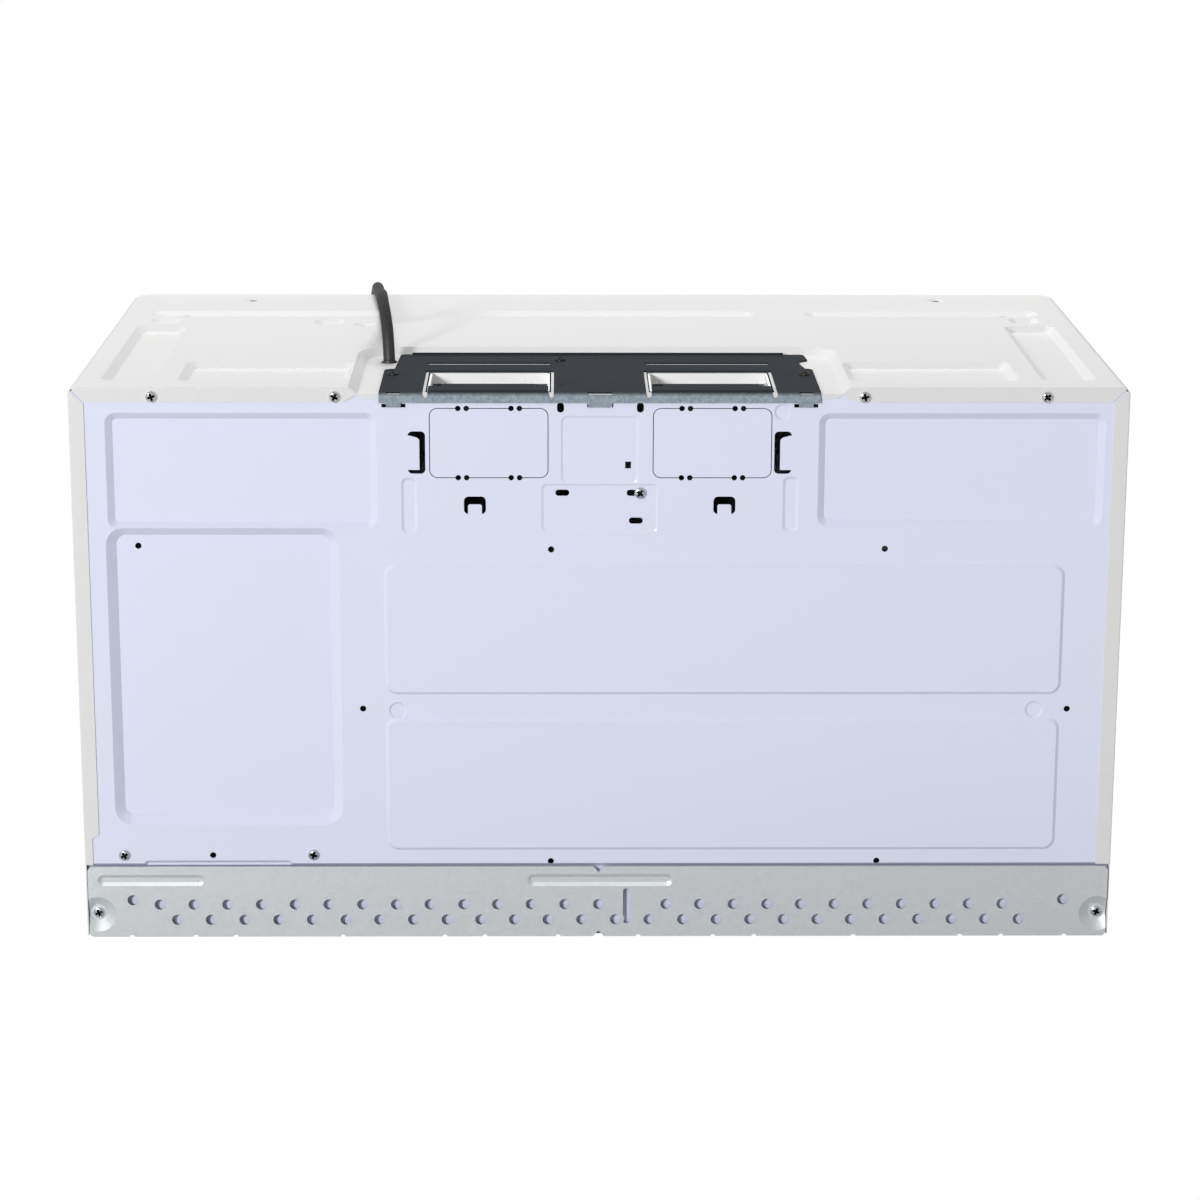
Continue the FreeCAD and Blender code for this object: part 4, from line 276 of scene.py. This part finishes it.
# ---- Outer wrap ----------------------------------------------------------------------------------
# One sheet of steel, pressed with stiffening recesses and bent over the top and both sides, then
# powder coated in warm white. Its flanges turn in at the rear and meet in mitred corners.
home = {node: body for body, held in frame["record"]["behaviour"]["bodies"].items()
        for node in held}


def formed(node, material, crease=28.0):
    """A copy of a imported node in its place, its loose triangles joined and its bends shaded
    round."""
    mesh = frame["nodes"][node].data.copy()
    mesh.name = node + "_form"
    form = bmesh.new()
    form.from_mesh(mesh)
    bmesh.ops.remove_doubles(form, verts=form.verts, dist=2e-6)
    made = placed(node + "_form", mesh, form, material, home[node], crease)
    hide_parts(node)


wrap_white = finish("wrap_white", (0.71, 0.71, 0.705), (0.695, 0.695, 0.69), 6.0,
                    rough=(0.26, 0.32), grain=0.08, grain_scale=700.0, depth=0.0001, coat=0.1)
formed("outer_wrap", wrap_white, crease=14.0)

# ---- Rear panel ----------------------------------------------------------------------------------
# A pressed steel panel in a cooler, glossier enamel that looks faintly lavender beside the wrap.
# Its knock-outs, hooks and screw slots are pierced before it is coated.
panel_lavender = finish("panel_lavender", (0.70, 0.725, 0.865), (0.69, 0.715, 0.85), 5.0,
                        rough=(0.20, 0.27), grain=0.08, grain_scale=500.0, depth=0.00015,
                        coat=0.25)
formed("rear_panel", panel_lavender, crease=10.0)

# ---- Wall plate ----------------------------------------------------------------------------------
# A galvanised steel strip, punched with two rows of 8.2 mm holes every 25 mm for the wall studs.
# The zinc is skin rolled to a fine, even grey, with hardly a crystal to be seen.
zinc = finish("zinc", (0.67, 0.70, 0.71), (0.74, 0.77, 0.78), 420.0, metallic=0.55,
              rough=(0.40, 0.52), grain=0.2, grain_scale=900.0, depth=0.0001)
formed("mounting_plate", zinc, crease=10.0)

# ---- Exhaust plate -------------------------------------------------------------------------------
# Galvanised steel sprayed black on top only: the rear flange and its hooks keep the bare zinc,
# darkened by overspray near the bend.


def worked(made, operation, *values):
    """A number worked out from others, each of which may be a node's output."""
    return node_in(made, "Math", dict(enumerate(values)), operation=operation).outputs[0]


def ramped(made, value, start, end, first=0.0, last=1.0):
    """A number that goes from a first to a last while a node's output goes from start to end."""
    ramp = node_in(made, "MapRange", {"Value": value, "From Min": start, "From Max": end,
                                      "To Min": first, "To Max": last})
    return ramp.outputs["Result"]


def object_place(made):
    """The Object coordinates that a finish reads."""
    return next(n for n in made.node_tree.nodes if n.type == "TEX_COORD").outputs["Object"]


def object_axes(made):
    """The outputs X, Y and Z of a finish's Object coordinates."""
    return node_in(made, "SeparateXYZ", {0: object_place(made)}).outputs


def overlaid(made, amount, colour):
    """A finish with a colour, or a node's colour, laid over its own by an amount."""
    base = made.node_tree.nodes["Principled BSDF"].inputs["Base Color"]
    return shaded(made, {"Base Color": mixed(made, amount, base.links[0].from_socket, colour)})


def half_sprayed(name):
    """Black paint, and blue-grey zinc crystals on what lies both below the bend and outside the
    rear face of the case."""
    made = finish(name, (0.021, 0.025, 0.030), (0.026, 0.030, 0.035), 30.0, rough=(0.55, 0.65),
                  grain=0.2, grain_scale=900.0)
    shaded(made, {"Specular IOR Level": 0.08})
    axes = object_axes(made)
    below = ramped(made, axes["Z"], 0.4095, 0.4125, 1.0, 0.0)
    outside = ramped(made, axes["Y"], 0.2203, 0.2210)
    crystals = node_in(made, "TexVoronoi", {"Vector": object_place(made), "Scale": 520.0})
    bare = mixed(made, crystals.outputs["Color"], (0.20, 0.25, 0.285), (0.33, 0.385, 0.42))
    return overlaid(made, worked(made, "MULTIPLY", below, outside), bare)


formed("exhaust_plate", half_sprayed("half_sprayed_black"))

# ---- Screws --------------------------------------------------------------------------------------
# Pan head machine screws with a pressed cross: bright chrome on the case and grille, zinc on the
# rear panel, wall plate and handle, and black on the exhaust plate. Each stands on its sheet at
# its own angle, as it was driven. The recess of each cross has painted shade in near black.


def frame_of(axis):
    """Two directions across an axis and the axis itself, as the rows of a matrix."""
    axis = np.array(axis, float) / np.linalg.norm(axis)
    side = np.cross(axis, (0, 0, 1) if abs(axis[2]) < 0.9 else (1, 0, 0))
    side /= np.linalg.norm(side)
    return np.array([side, np.cross(axis, side), axis])


def pan_head(place, turn, axis, radius, height, shank):
    """A screw: the head's crown is a superellipse over the radius, less a cross whose depth fades
    at its ends and sides, and the shank follows under it. With it comes each vertex's share of
    that depth."""
    crown_rings, around = 26, 96
    arm_width, arm_length, arm_depth = 0.21, 0.66, 0.66
    share = np.linspace(0.03, 1.0, crown_rings)
    crown = height * (0.30 + 0.70 * np.sqrt(np.clip(1 - share ** 3.2, 0, 1)))
    radii = np.concatenate([share * radius, [radius, radius * 0.98, 0.0019, 0.0019, 0.0015]])
    heights = np.concatenate([crown, [height * 0.12, 0.0, 0.0, -shank + 0.001, -shank]])
    angle = np.linspace(0, 2 * np.pi, around, endpoint=False)
    x = radii[:, None] * np.cos(angle)
    y = radii[:, None] * np.sin(angle)
    z = np.repeat(heights[:, None], around, axis=1)
    u = np.abs(x * math.cos(turn) + y * math.sin(turn)) / radius
    v = np.abs(y * math.cos(turn) - x * math.sin(turn)) / radius
    across, along = np.minimum(u, v), np.maximum(u, v)
    cross = (np.clip((arm_width - across) / 0.06, 0, 1)
             * np.clip((arm_length - along) / 0.12, 0, 1))
    cross[crown_rings:] = 0
    z -= cross * height * arm_depth
    rings = np.stack([x, y, z], axis=-1) @ frame_of(axis) + np.array(place)
    return closed_rings(rings), np.concatenate([cross.ravel(), [1.0, 0.0]])


def screws(node, spots, axis, size, material, body="housing"):
    """Screws of one size in place of a node's own. Each spot is a place and a turn, and how deep
    a vertex is pressed is kept as an attribute, for the finish's painted shade in the cross."""
    heads = [pan_head(spot[:3], spot[3], axis, *size) for spot in spots]
    made = made_piece(node.replace("screws", "screw_heads"), [solid for solid, _ in heads],
                      material, body)
    pressed = made.data.attributes.new("pressed", "FLOAT", "POINT")
    pressed.data.foreach_set("value", np.concatenate([depth for _, depth in heads]))
    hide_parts(node)


def cross_shaded(made):
    """A screw's finish with painted shade: near black where its cross is pressed."""
    pressed = node_in(made, "Attribute", {}, attribute_name="pressed")
    # Painted shade: the pressed cross turns near black.
    return overlaid(made, pressed.outputs["Fac"], (0.012, 0.012, 0.012))


chrome = cross_shaded(finish("screw_chrome", (0.92, 0.92, 0.92), (0.78, 0.78, 0.79), 500.0,
                        metallic=1.0, rough=(0.10, 0.16)))
zinc_screw = cross_shaded(finish("screw_zinc", (0.74, 0.82, 0.86), (0.62, 0.71, 0.74), 600.0,
                            metallic=1.0, rough=(0.16, 0.26)))
black_screw = cross_shaded(finish("screw_black", (0.025, 0.022, 0.018), (0.05, 0.045, 0.035), 700.0,
                             metallic=0.6, rough=(0.22, 0.36)))
outward, upward = (0, 1, 0), (0, 0, 1)
sheet_screw = (0.0042, 0.0022, 0.006)
case_spots = [(x, wall_y, top_z - 0.0072, turn)
              for x, turn in ((0.320, 0.3), (0.1895, 1.1), (-0.1895, 0.2), (-0.320, 0.75))]
screws("case_screws", case_spots, outward, sheet_screw, chrome)
rear_spots = [(x, wall_y - 0.0008, top_z - drop, turn) for x, drop, turn in (
    (0.3502, 0.352, 0.5), (0.2106, 0.3518, 1.3), (-0.0290, 0.0777, 0.9))]
screws("rear_screws", rear_spots, outward, sheet_screw, zinc_screw)
plate_spots = [(x, wall_y - 0.0046, 0.018, turn) for x, turn in ((0.371, 0.4), (-0.371, 1.2))]
screws("plate_screws", plate_spots, outward, sheet_screw, zinc_screw)
exhaust_spots = [(x, wall_y - back, 0.4122, turn) for x, back, turn in (
    (0.1508, 0.0665, 0.1), (-0.1508, 0.067, 0.6), (0.0283, 0.123, 1.0))]
screws("exhaust_screws", exhaust_spots, upward, (0.0040, 0.0020, 0.006), black_screw)
grille_spots = [(x, wall_y - 0.368, 0.414, turn) for x, turn in ((0.2795, 0.2), (-0.2795, 0.9))]
screws("grille_screws", grille_spots, upward, (0.0036, 0.0016, 0.007), chrome)

# ---- Base plate, grease filters and cooktop lamp -------------------------------------------------
# The bottom is a galvanised tray. Two washable filters of expanded aluminium lie in guides over
# its openings, and a ribbed glass closes the lamp's window over the cooktop.
base_zinc = finish("base_zinc", (0.56, 0.58, 0.58), (0.70, 0.72, 0.72), 150.0, metallic=0.6,
                   rough=(0.36, 0.52), grain=0.1, grain_scale=500.0, spangle=True)
formed("base_plate", base_zinc)
filter_metal = finish("filter_aluminium", (0.72, 0.73, 0.74), (0.60, 0.61, 0.62), 90.0,
                      metallic=1.0, rough=(0.26, 0.40), grain=0.15, grain_scale=1200.0)


def expanded_mesh(middle_x):
    """A pad of expanded aluminium in a filter: a grid whose height is the product of two slanted
    sine waves, so that its strands cross in diamonds, closed by a flat grid above it."""
    width, length, thickness, weave_height = 0.0925, 0.2425, 0.0012, 0.0010
    diamond_width, diamond_length = 0.0046, 0.0080
    middle_y, low_z = 0.0354, 0.0018
    u = np.linspace(-width / 2, width / 2, 84)
    v = np.linspace(-length / 2, length / 2, 200)
    v, u = np.meshgrid(v, u)
    weave = (np.abs(np.sin(np.pi * (u / diamond_width + v / diamond_length)))
             * np.abs(np.sin(np.pi * (u / diamond_width - v / diamond_length))))
    x, y = middle_x + u, middle_y + v
    front = np.stack([x, y, low_z + weave_height * weave], axis=-1)
    back = np.stack([x, y, np.full_like(u, low_z + thickness)], axis=-1)
    rows, columns = u.shape
    i, j = np.meshgrid(np.arange(rows - 1), np.arange(columns - 1), indexing="ij")
    quads = np.stack([i * columns + j, i * columns + j + 1, (i + 1) * columns + j + 1,
                      (i + 1) * columns + j], axis=-1).reshape(-1, 4)
    border = np.concatenate([
        np.arange(columns), np.arange(1, rows) * columns + columns - 1,
        (rows - 1) * columns + np.arange(columns - 2, -1, -1),
        np.arange(rows - 2, 0, -1) * columns])
    after = np.roll(border, -1)
    half = rows * columns
    rim = np.stack([border, after, after + half, border + half], axis=-1)
    faces = np.concatenate([quads, quads[:, ::-1] + half, rim])
    return np.concatenate([front.reshape(-1, 3), back.reshape(-1, 3)]), faces.tolist()


for side, middle in (("right", 0.215), ("left", -0.295)):
    formed("grease_filter_" + side, filter_metal)
    made_piece("filter_mesh_" + side, [expanded_mesh(middle)], filter_metal, "filter_" + side,
               crease=80.0)
lamp_glass = finish("ribbed_glass", (0.86, 0.88, 0.86), (0.80, 0.83, 0.82), 40.0,
                    rough=(0.08, 0.16), coat=0.4)
formed("cooktop_lamp_cover", shaded(lamp_glass, {"Transmission Weight": 0.55}))
bulb_white = finish("bulb_and_holder", (0.80, 0.78, 0.72), (0.72, 0.70, 0.66), 80.0,
                    rough=(0.25, 0.4))
formed("cooktop_lamp", bulb_white)
formed("oven_lamp", bulb_white)

# ---- Oven cavity and front frame -----------------------------------------------------------------
# Drawn steel in a pale grey stove enamel, spot welded to the front frame. The frame carries the
# door's seal face, and is coated with the wrap's white. A mica sheet covers the waveguide's mouth.
cavity_enamel = finish("oven_enamel", (0.60, 0.60, 0.585), (0.52, 0.52, 0.505), 700.0,
                       rough=(0.22, 0.34), grain=0.12, grain_scale=900.0, coat=0.2)
formed("oven_cavity", cavity_enamel)
formed("front_frame", wrap_white)
pressed_mica = finish("pressed_mica", (0.60, 0.52, 0.40), (0.72, 0.66, 0.54), 260.0,
                      rough=(0.35, 0.6), grain=0.3, grain_scale=300.0, spangle=True)
formed("waveguide_cover", pressed_mica)

# ---- Turntable -----------------------------------------------------------------------------------
# A pressed glass tray sits on a three-armed coupler, and three nylon rollers in a loose ring
# carry its edge round the floor's track.
tray_glass = finish("tray_glass", (0.82, 0.88, 0.87), (0.78, 0.85, 0.84), 30.0,
                    rough=(0.03, 0.08), grain=0.05, grain_scale=120.0)
formed("glass_tray", shaded(tray_glass, {"Transmission Weight": 0.9, "IOR": 1.5}))
nylon = finish("white_nylon", (0.80, 0.80, 0.77), (0.74, 0.74, 0.71), 50.0, rough=(0.38, 0.5),
               grain=0.1, grain_scale=600.0)
for node in ("turntable_coupler", "roller_ring", "ring_roller_1", "ring_roller_2",
             "ring_roller_3"):
    formed(node, nylon)
motor_steel = finish("motor_steel", (0.52, 0.53, 0.54), (0.64, 0.65, 0.66), 220.0, metallic=0.9,
                     rough=(0.28, 0.45), grain=0.1, grain_scale=800.0, spangle=True)
formed("turntable_motor", motor_steel)

# ---- Microwave source ----------------------------------------------------------------------------
# The magnetron's fins, the folded waveguide, the laminated transformer with its two windings
# and the oil-filled capacitor stand on the control side, out of sight behind the rear panel.
formed("waveguide", zinc)
formed("magnetron", motor_steel)


def coil_and_core(name):
    """Copper-brown windings in the core's window, and dark laminated steel round them, striped
    across by a fine wave."""
    window_z, half_height = 0.043, 0.0181
    window_x, half_width = 0.325, 0.0332
    made = finish(name, (0.10, 0.10, 0.105), (0.17, 0.17, 0.18), 300.0, metallic=0.7,
                  rough=(0.38, 0.55), grain=0.35, grain_scale=900.0, stretch=(0.05, 0.05, 1.0))
    axes = object_axes(made)
    level_with = worked(made, "COMPARE", axes["Z"], window_z, half_height)
    in_line_with = worked(made, "COMPARE", axes["X"], window_x, half_width)
    return overlaid(made, worked(made, "MULTIPLY", level_with, in_line_with), (0.42, 0.16, 0.07))


formed("hv_transformer", coil_and_core("transformer_core"))
formed("hv_capacitor", filter_metal)
board_green = finish("board_green", (0.05, 0.20, 0.10), (0.09, 0.30, 0.15), 700.0,
                     rough=(0.3, 0.5), spangle=True)
formed("noise_filter_board", board_green)
formed("control_board", board_green)

# ---- Cooling fan ---------------------------------------------------------------------------------
# A small shaded-pole motor on three arms drives a five-bladed fan in the ring of a galvanised
# shroud. It blows through the magnetron's fins.
fan_grey = finish("fan_grey", (0.26, 0.27, 0.28), (0.21, 0.22, 0.23), 60.0, rough=(0.42, 0.55),
                  grain=0.15, grain_scale=700.0)
formed("cooling_fan_shroud", zinc)
formed("cooling_fan_motor", motor_steel)
formed("cooling_fan_blade", fan_grey)

# ---- Blower --------------------------------------------------------------------------------------
# Two white moulded scrolls stand against the top sheet's outlets, with a motor between them and
# a galvanised squirrel-cage wheel in each. Their rear faces, seen through the rear panel's holes,
# have painted shade in near black.


def shade_backed(name):
    """White plastic, with painted shade in near black on the scrolls' rear faces. Its edge leans
    forward downwards and so takes in more and more of them there."""
    shade_y, shade_z, lean = wall_y - 0.0147, 0.40, 0.4
    made = finish(name, (0.95, 0.95, 0.945), (0.935, 0.935, 0.93), 20.0, rough=(0.34, 0.45),
                  grain=0.12, grain_scale=500.0)
    leaning = node_in(made, "VectorMath", {0: object_place(made), 1: (0, 1, -lean)},
                      operation="DOT_PRODUCT")
    rear = worked(made, "GREATER_THAN", leaning.outputs["Value"], shade_y - lean * shade_z)
    # Painted shade: near black over the scrolls' rear faces, behind the rear panel's holes.
    return overlaid(made, rear, (0.012, 0.012, 0.013))


formed("blower_housing", shade_backed("scroll_white_shaded"))
formed("blower_motor", motor_steel)
formed("blower_wheels", zinc)

# ---- Vent grille ---------------------------------------------------------------------------------
# A moulded white grille along the top front edge, with five louvre slots in each of seven bays
# and a block of charcoal behind the middle ones.
moulded_white = finish("moulded_white", (0.74, 0.74, 0.728), (0.72, 0.72, 0.708), 10.0,
                       rough=(0.26, 0.34), grain=0.10, grain_scale=650.0, coat=0.1)
formed("vent_grille", moulded_white)
charcoal = finish("charcoal", (0.018, 0.018, 0.018), (0.045, 0.045, 0.045), 800.0,
                  rough=(0.7, 0.9), grain=0.9, grain_scale=900.0, depth=0.0006, spangle=True)
formed("charcoal_filter", charcoal)

# ---- Door ----------------------------------------------------------------------------------------
# A steel pan with a perforated screen, closed by a dark plastic choke cover at the back and a
# moulded white front that holds the tinted glass. The bowed handle is screwed on from inside.


def dotted_black(name, pitch, dot, ground, coat):
    """Black with rows of small dots: a dot shows where the product of two sine waves, one along
    X and one along Z, is above a threshold."""
    threshold = 0.72
    made = finish(name, ground, ground, 30.0, rough=(0.05, 0.09), coat=coat)
    axes = object_axes(made)
    across, along = (
        worked(made, "ABSOLUTE", worked(made, "SINE", worked(
            made, "MULTIPLY", axes[axis], math.pi / pitch))) for axis in ("X", "Z"))
    product = worked(made, "MULTIPLY", across, along)
    return overlaid(made, worked(made, "GREATER_THAN", product, threshold), dot)


formed("door_outer_panel", moulded_white)
window_glass = dotted_black("window_glass", 0.0024, (0.030, 0.031, 0.033), (0.008, 0.008, 0.009),
                            0.6)
formed("door_window", window_glass)
formed("door_frame", wrap_white)
choke_dark = finish("choke_plastic", (0.035, 0.036, 0.038), (0.028, 0.029, 0.031), 30.0,
                    rough=(0.38, 0.5), grain=0.2, grain_scale=900.0)
formed("door_choke_cover", choke_dark)
formed("door_handle", moulded_white)
handle_spots = [(0.140, wall_y - 0.400, z, turn) for z, turn in ((0.066, 0.4), (0.294, 1.0))]
screws("handle_screws", handle_spots, outward, (0.0042, 0.0022, 0.011), zinc_screw, "door")

# ---- Hinges, latch and switches ------------------------------------------------------------------
# Plated leaves with welded pins carry the door. The latch bar slides in the pan against a coil
# spring, and its two hooks trip the snap switches behind the frame.
for node in ("upper_hinge", "lower_hinge"):
    formed(node, motor_steel)
latch_grey = finish("latch_plastic", (0.42, 0.43, 0.44), (0.36, 0.37, 0.38), 80.0,
                    rough=(0.34, 0.46), grain=0.1, grain_scale=700.0)
formed("door_latch", latch_grey)
formed("interlock_bracket", zinc)
formed("interlock_switches", choke_dark)
coil_x, coil_y, coil_foot, coil_length = 0.1635, wall_y - 0.376, 0.290, 0.022
coil_turns, coil_radius, wire = 9, 0.0031, 0.00045
spin = np.linspace(0, 2 * np.pi * coil_turns, 28 * coil_turns)
climb = coil_foot + wire + (coil_length - 2 * wire) * spin / spin[-1]
coil = np.stack([coil_x + coil_radius * np.cos(spin), coil_y + coil_radius * np.sin(spin),
                 climb], axis=-1)
tangent = np.gradient(coil, axis=0)
tangent /= np.linalg.norm(tangent, axis=1, keepdims=True)
out = np.stack([np.cos(spin), np.sin(spin), np.zeros_like(spin)], axis=-1)
over = np.cross(tangent, out)
ring = np.linspace(0, 2 * np.pi, 10, endpoint=False)[None, :, None]
coil_rings = coil[:, None] + wire * (np.cos(ring) * out[:, None] + np.sin(ring) * over[:, None])
spring = made_piece("latch_coil", [closed_rings(coil_rings)], motor_steel, "door")
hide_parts("latch_spring")
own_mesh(spring)

# ---- Controls ------------------------------------------------------------------------------------
# A moulded white panel with a black touch glass. A number pad and a clock are printed on the
# glass in pale grey and green, and the green clock has a painted glow.
formed("control_housing", moulded_white)
touch_black = finish("touch_black", (0.010, 0.010, 0.011), (0.013, 0.013, 0.014), 20.0,
                     rough=(0.05, 0.08), coat=0.5)
formed("control_glass", touch_black)
print_grey = finish("print_grey", (0.55, 0.56, 0.56), (0.50, 0.51, 0.51), 50.0,
                    rough=(0.4, 0.5))
print_y = wall_y - 0.403 - 0.00004


def printed(letters, x, z, height):
    """Flat outlines of letters on the glass, centred at a place, as seen from the front."""
    curve = bpy.data.curves.new("printed", "FONT")
    curve.body, curve.size, curve.resolution_u = letters, height, 4
    curve.align_x, curve.align_y = "CENTER", "CENTER"
    holder = bpy.data.objects.new("printed", curve)
    bpy.context.scene.collection.objects.link(holder)
    bpy.context.view_layer.update()
    drawn = holder.evaluated_get(bpy.context.evaluated_depsgraph_get())
    flat = bpy.data.meshes.new_from_object(drawn)
    points = np.array([vertex.co[:] for vertex in flat.vertices])
    polygons = [list(face.vertices) for face in flat.polygons]
    bpy.data.objects.remove(holder)
    bpy.data.curves.remove(curve)
    bpy.data.meshes.remove(flat)
    outlines = np.stack([x + points[:, 0], np.full(len(points), print_y), z + points[:, 1]],
                        axis=-1)
    return outlines, polygons


def key_outline(x, z, width, height):
    """A thin rounded frame round a key: the outline of a rounded rectangle and the same one
    moved in by the line's width, joined by quads."""
    line, radius, around = 0.0005, 0.003, 40
    angle = np.linspace(0, 2 * np.pi, around, endpoint=False)
    rings = []
    for inset in (0.0, line):
        a, b, r = width / 2 - inset, height / 2 - inset, radius - inset
        corner_x = np.where(np.cos(angle) > 0, a - r, r - a)
        corner_z = np.where(np.sin(angle) > 0, b - r, r - b)
        rings.append(np.stack([x + corner_x + r * np.cos(angle), np.full(around, print_y),
                               z + corner_z + r * np.sin(angle)], axis=-1))
    j = np.arange(around)
    nxt = (j + 1) % around
    return np.concatenate(rings), np.stack([j, nxt, nxt + around, j + around], axis=-1).tolist()


pad_x, pad_z, key_gap, row_gap = 0.2792, 0.196, 0.046, 0.031
key_rows = [(figures, pad_z - row_gap * row, 0.014)
            for row, figures in enumerate(("123", "456", "789", " 0 "))]
key_rows.append((("+30", "-", "+"), 0.238, 0.011))
prints = []
for figures, z, height in key_rows:
    for column, figure in enumerate(figures):
        if figure != " ":
            x = pad_x + key_gap * (column - 1)
            prints += [printed(figure, x, z, height), key_outline(x, z, 0.040, 0.025)]
for x in (pad_x - 0.0345, pad_x + 0.0345):
    prints.append(key_outline(x, 0.064, 0.063, 0.028))
made_piece("key_printing", prints, print_grey, "housing")
figure_painted_glow = finish("figure_painted_glow", (0.10, 0.75, 0.55), (0.10, 0.70, 0.50), 50.0,
                      rough=(0.4, 0.5))
# Painted glow: the printed clock figures give off light of their own.
shaded(figure_painted_glow, {"Emission Color": (0.15, 0.9, 0.7, 1), "Emission Strength": 0.5})
made_piece("clock_figures", [printed("12:00", pad_x, 0.302, 0.030)], figure_painted_glow, "housing")

# ---- Cord bush -----------------------------------------------------------------------------------
# A rubber bush lines the top sheet's hole and grips the cord.
formed("strain_relief", cord_rubber)

# ---- Floor, background and lamps -----------------------------------------------------------------
# A white sweep lit by two large soft boxes, one above the far side and one beyond the camera's
# left. The camera sees plain white behind the oven, and the enamels don't mirror the far box.
floor_mesh = bpy.data.meshes.new("studio_floor")
floor_mesh.from_pydata([(-9, -9, 0), (9, -9, 0), (9, 9, 0), (-9, 9, 0)], [], [(0, 1, 2, 3)])
studio_floor = bpy.data.objects.new("studio_floor", floor_mesh)
bpy.context.scene.collection.objects.link(studio_floor)
floor_white = bpy.data.materials.new("floor_white")
floor_white.use_nodes = True
floor_nodes = floor_white.node_tree.nodes
floor_nodes.remove(floor_nodes["Principled BSDF"])
matt = node_in(floor_white, "BsdfDiffuse", {"Color": (0.45, 0.45, 0.45, 1)})
glow = node_in(floor_white, "Emission", {"Strength": 1.0})
seen = node_in(floor_white, "LightPath", {}).outputs["Is Camera Ray"]
either = node_in(floor_white, "MixShader", {0: seen, 1: matt.outputs[0], 2: glow.outputs[0]})
fill(floor_white, floor_nodes["Material Output"], {"Surface": either.outputs[0]})
floor_mesh.materials.append(floor_white)

world = bpy.data.worlds.new("white_room")
bpy.context.scene.world = world
world.use_nodes = True
path = node_in(world, "LightPath", {}).outputs
white_behind = worked(world, "MAXIMUM", path["Is Camera Ray"], path["Is Transmission Ray"])
fill(world, world.node_tree.nodes["Background"], {
    "Color": (1, 1, 1, 1), "Strength": ramped(world, white_behind, 0.0, 1.0, 0.42, 1.0)})


def soft_box(name, place, target, size, power):
    """A square lamp at a place, facing a target."""
    lamp = bpy.data.lights.new(name, "AREA")
    lamp.size, lamp.energy = size, power
    made = bpy.data.objects.new(name, lamp)
    made.matrix_world = Matrix.Translation(place) @ (
        Vector(target) - Vector(place)).to_track_quat("-Z", "Y").to_matrix().to_4x4()
    bpy.context.scene.collection.objects.link(made)
    return made


far_box = soft_box("far_box", (0.2, -2.3, 3.0), (0, 0.1, 0.35), 1.8, 146.0)
far_box.visible_glossy = False
soft_box("camera_box", (2.4, 5.1, 1.75), (0, 0.2, 0.3), 0.8, 208.0)

bpy.context.scene.view_settings.view_transform = "Standard"
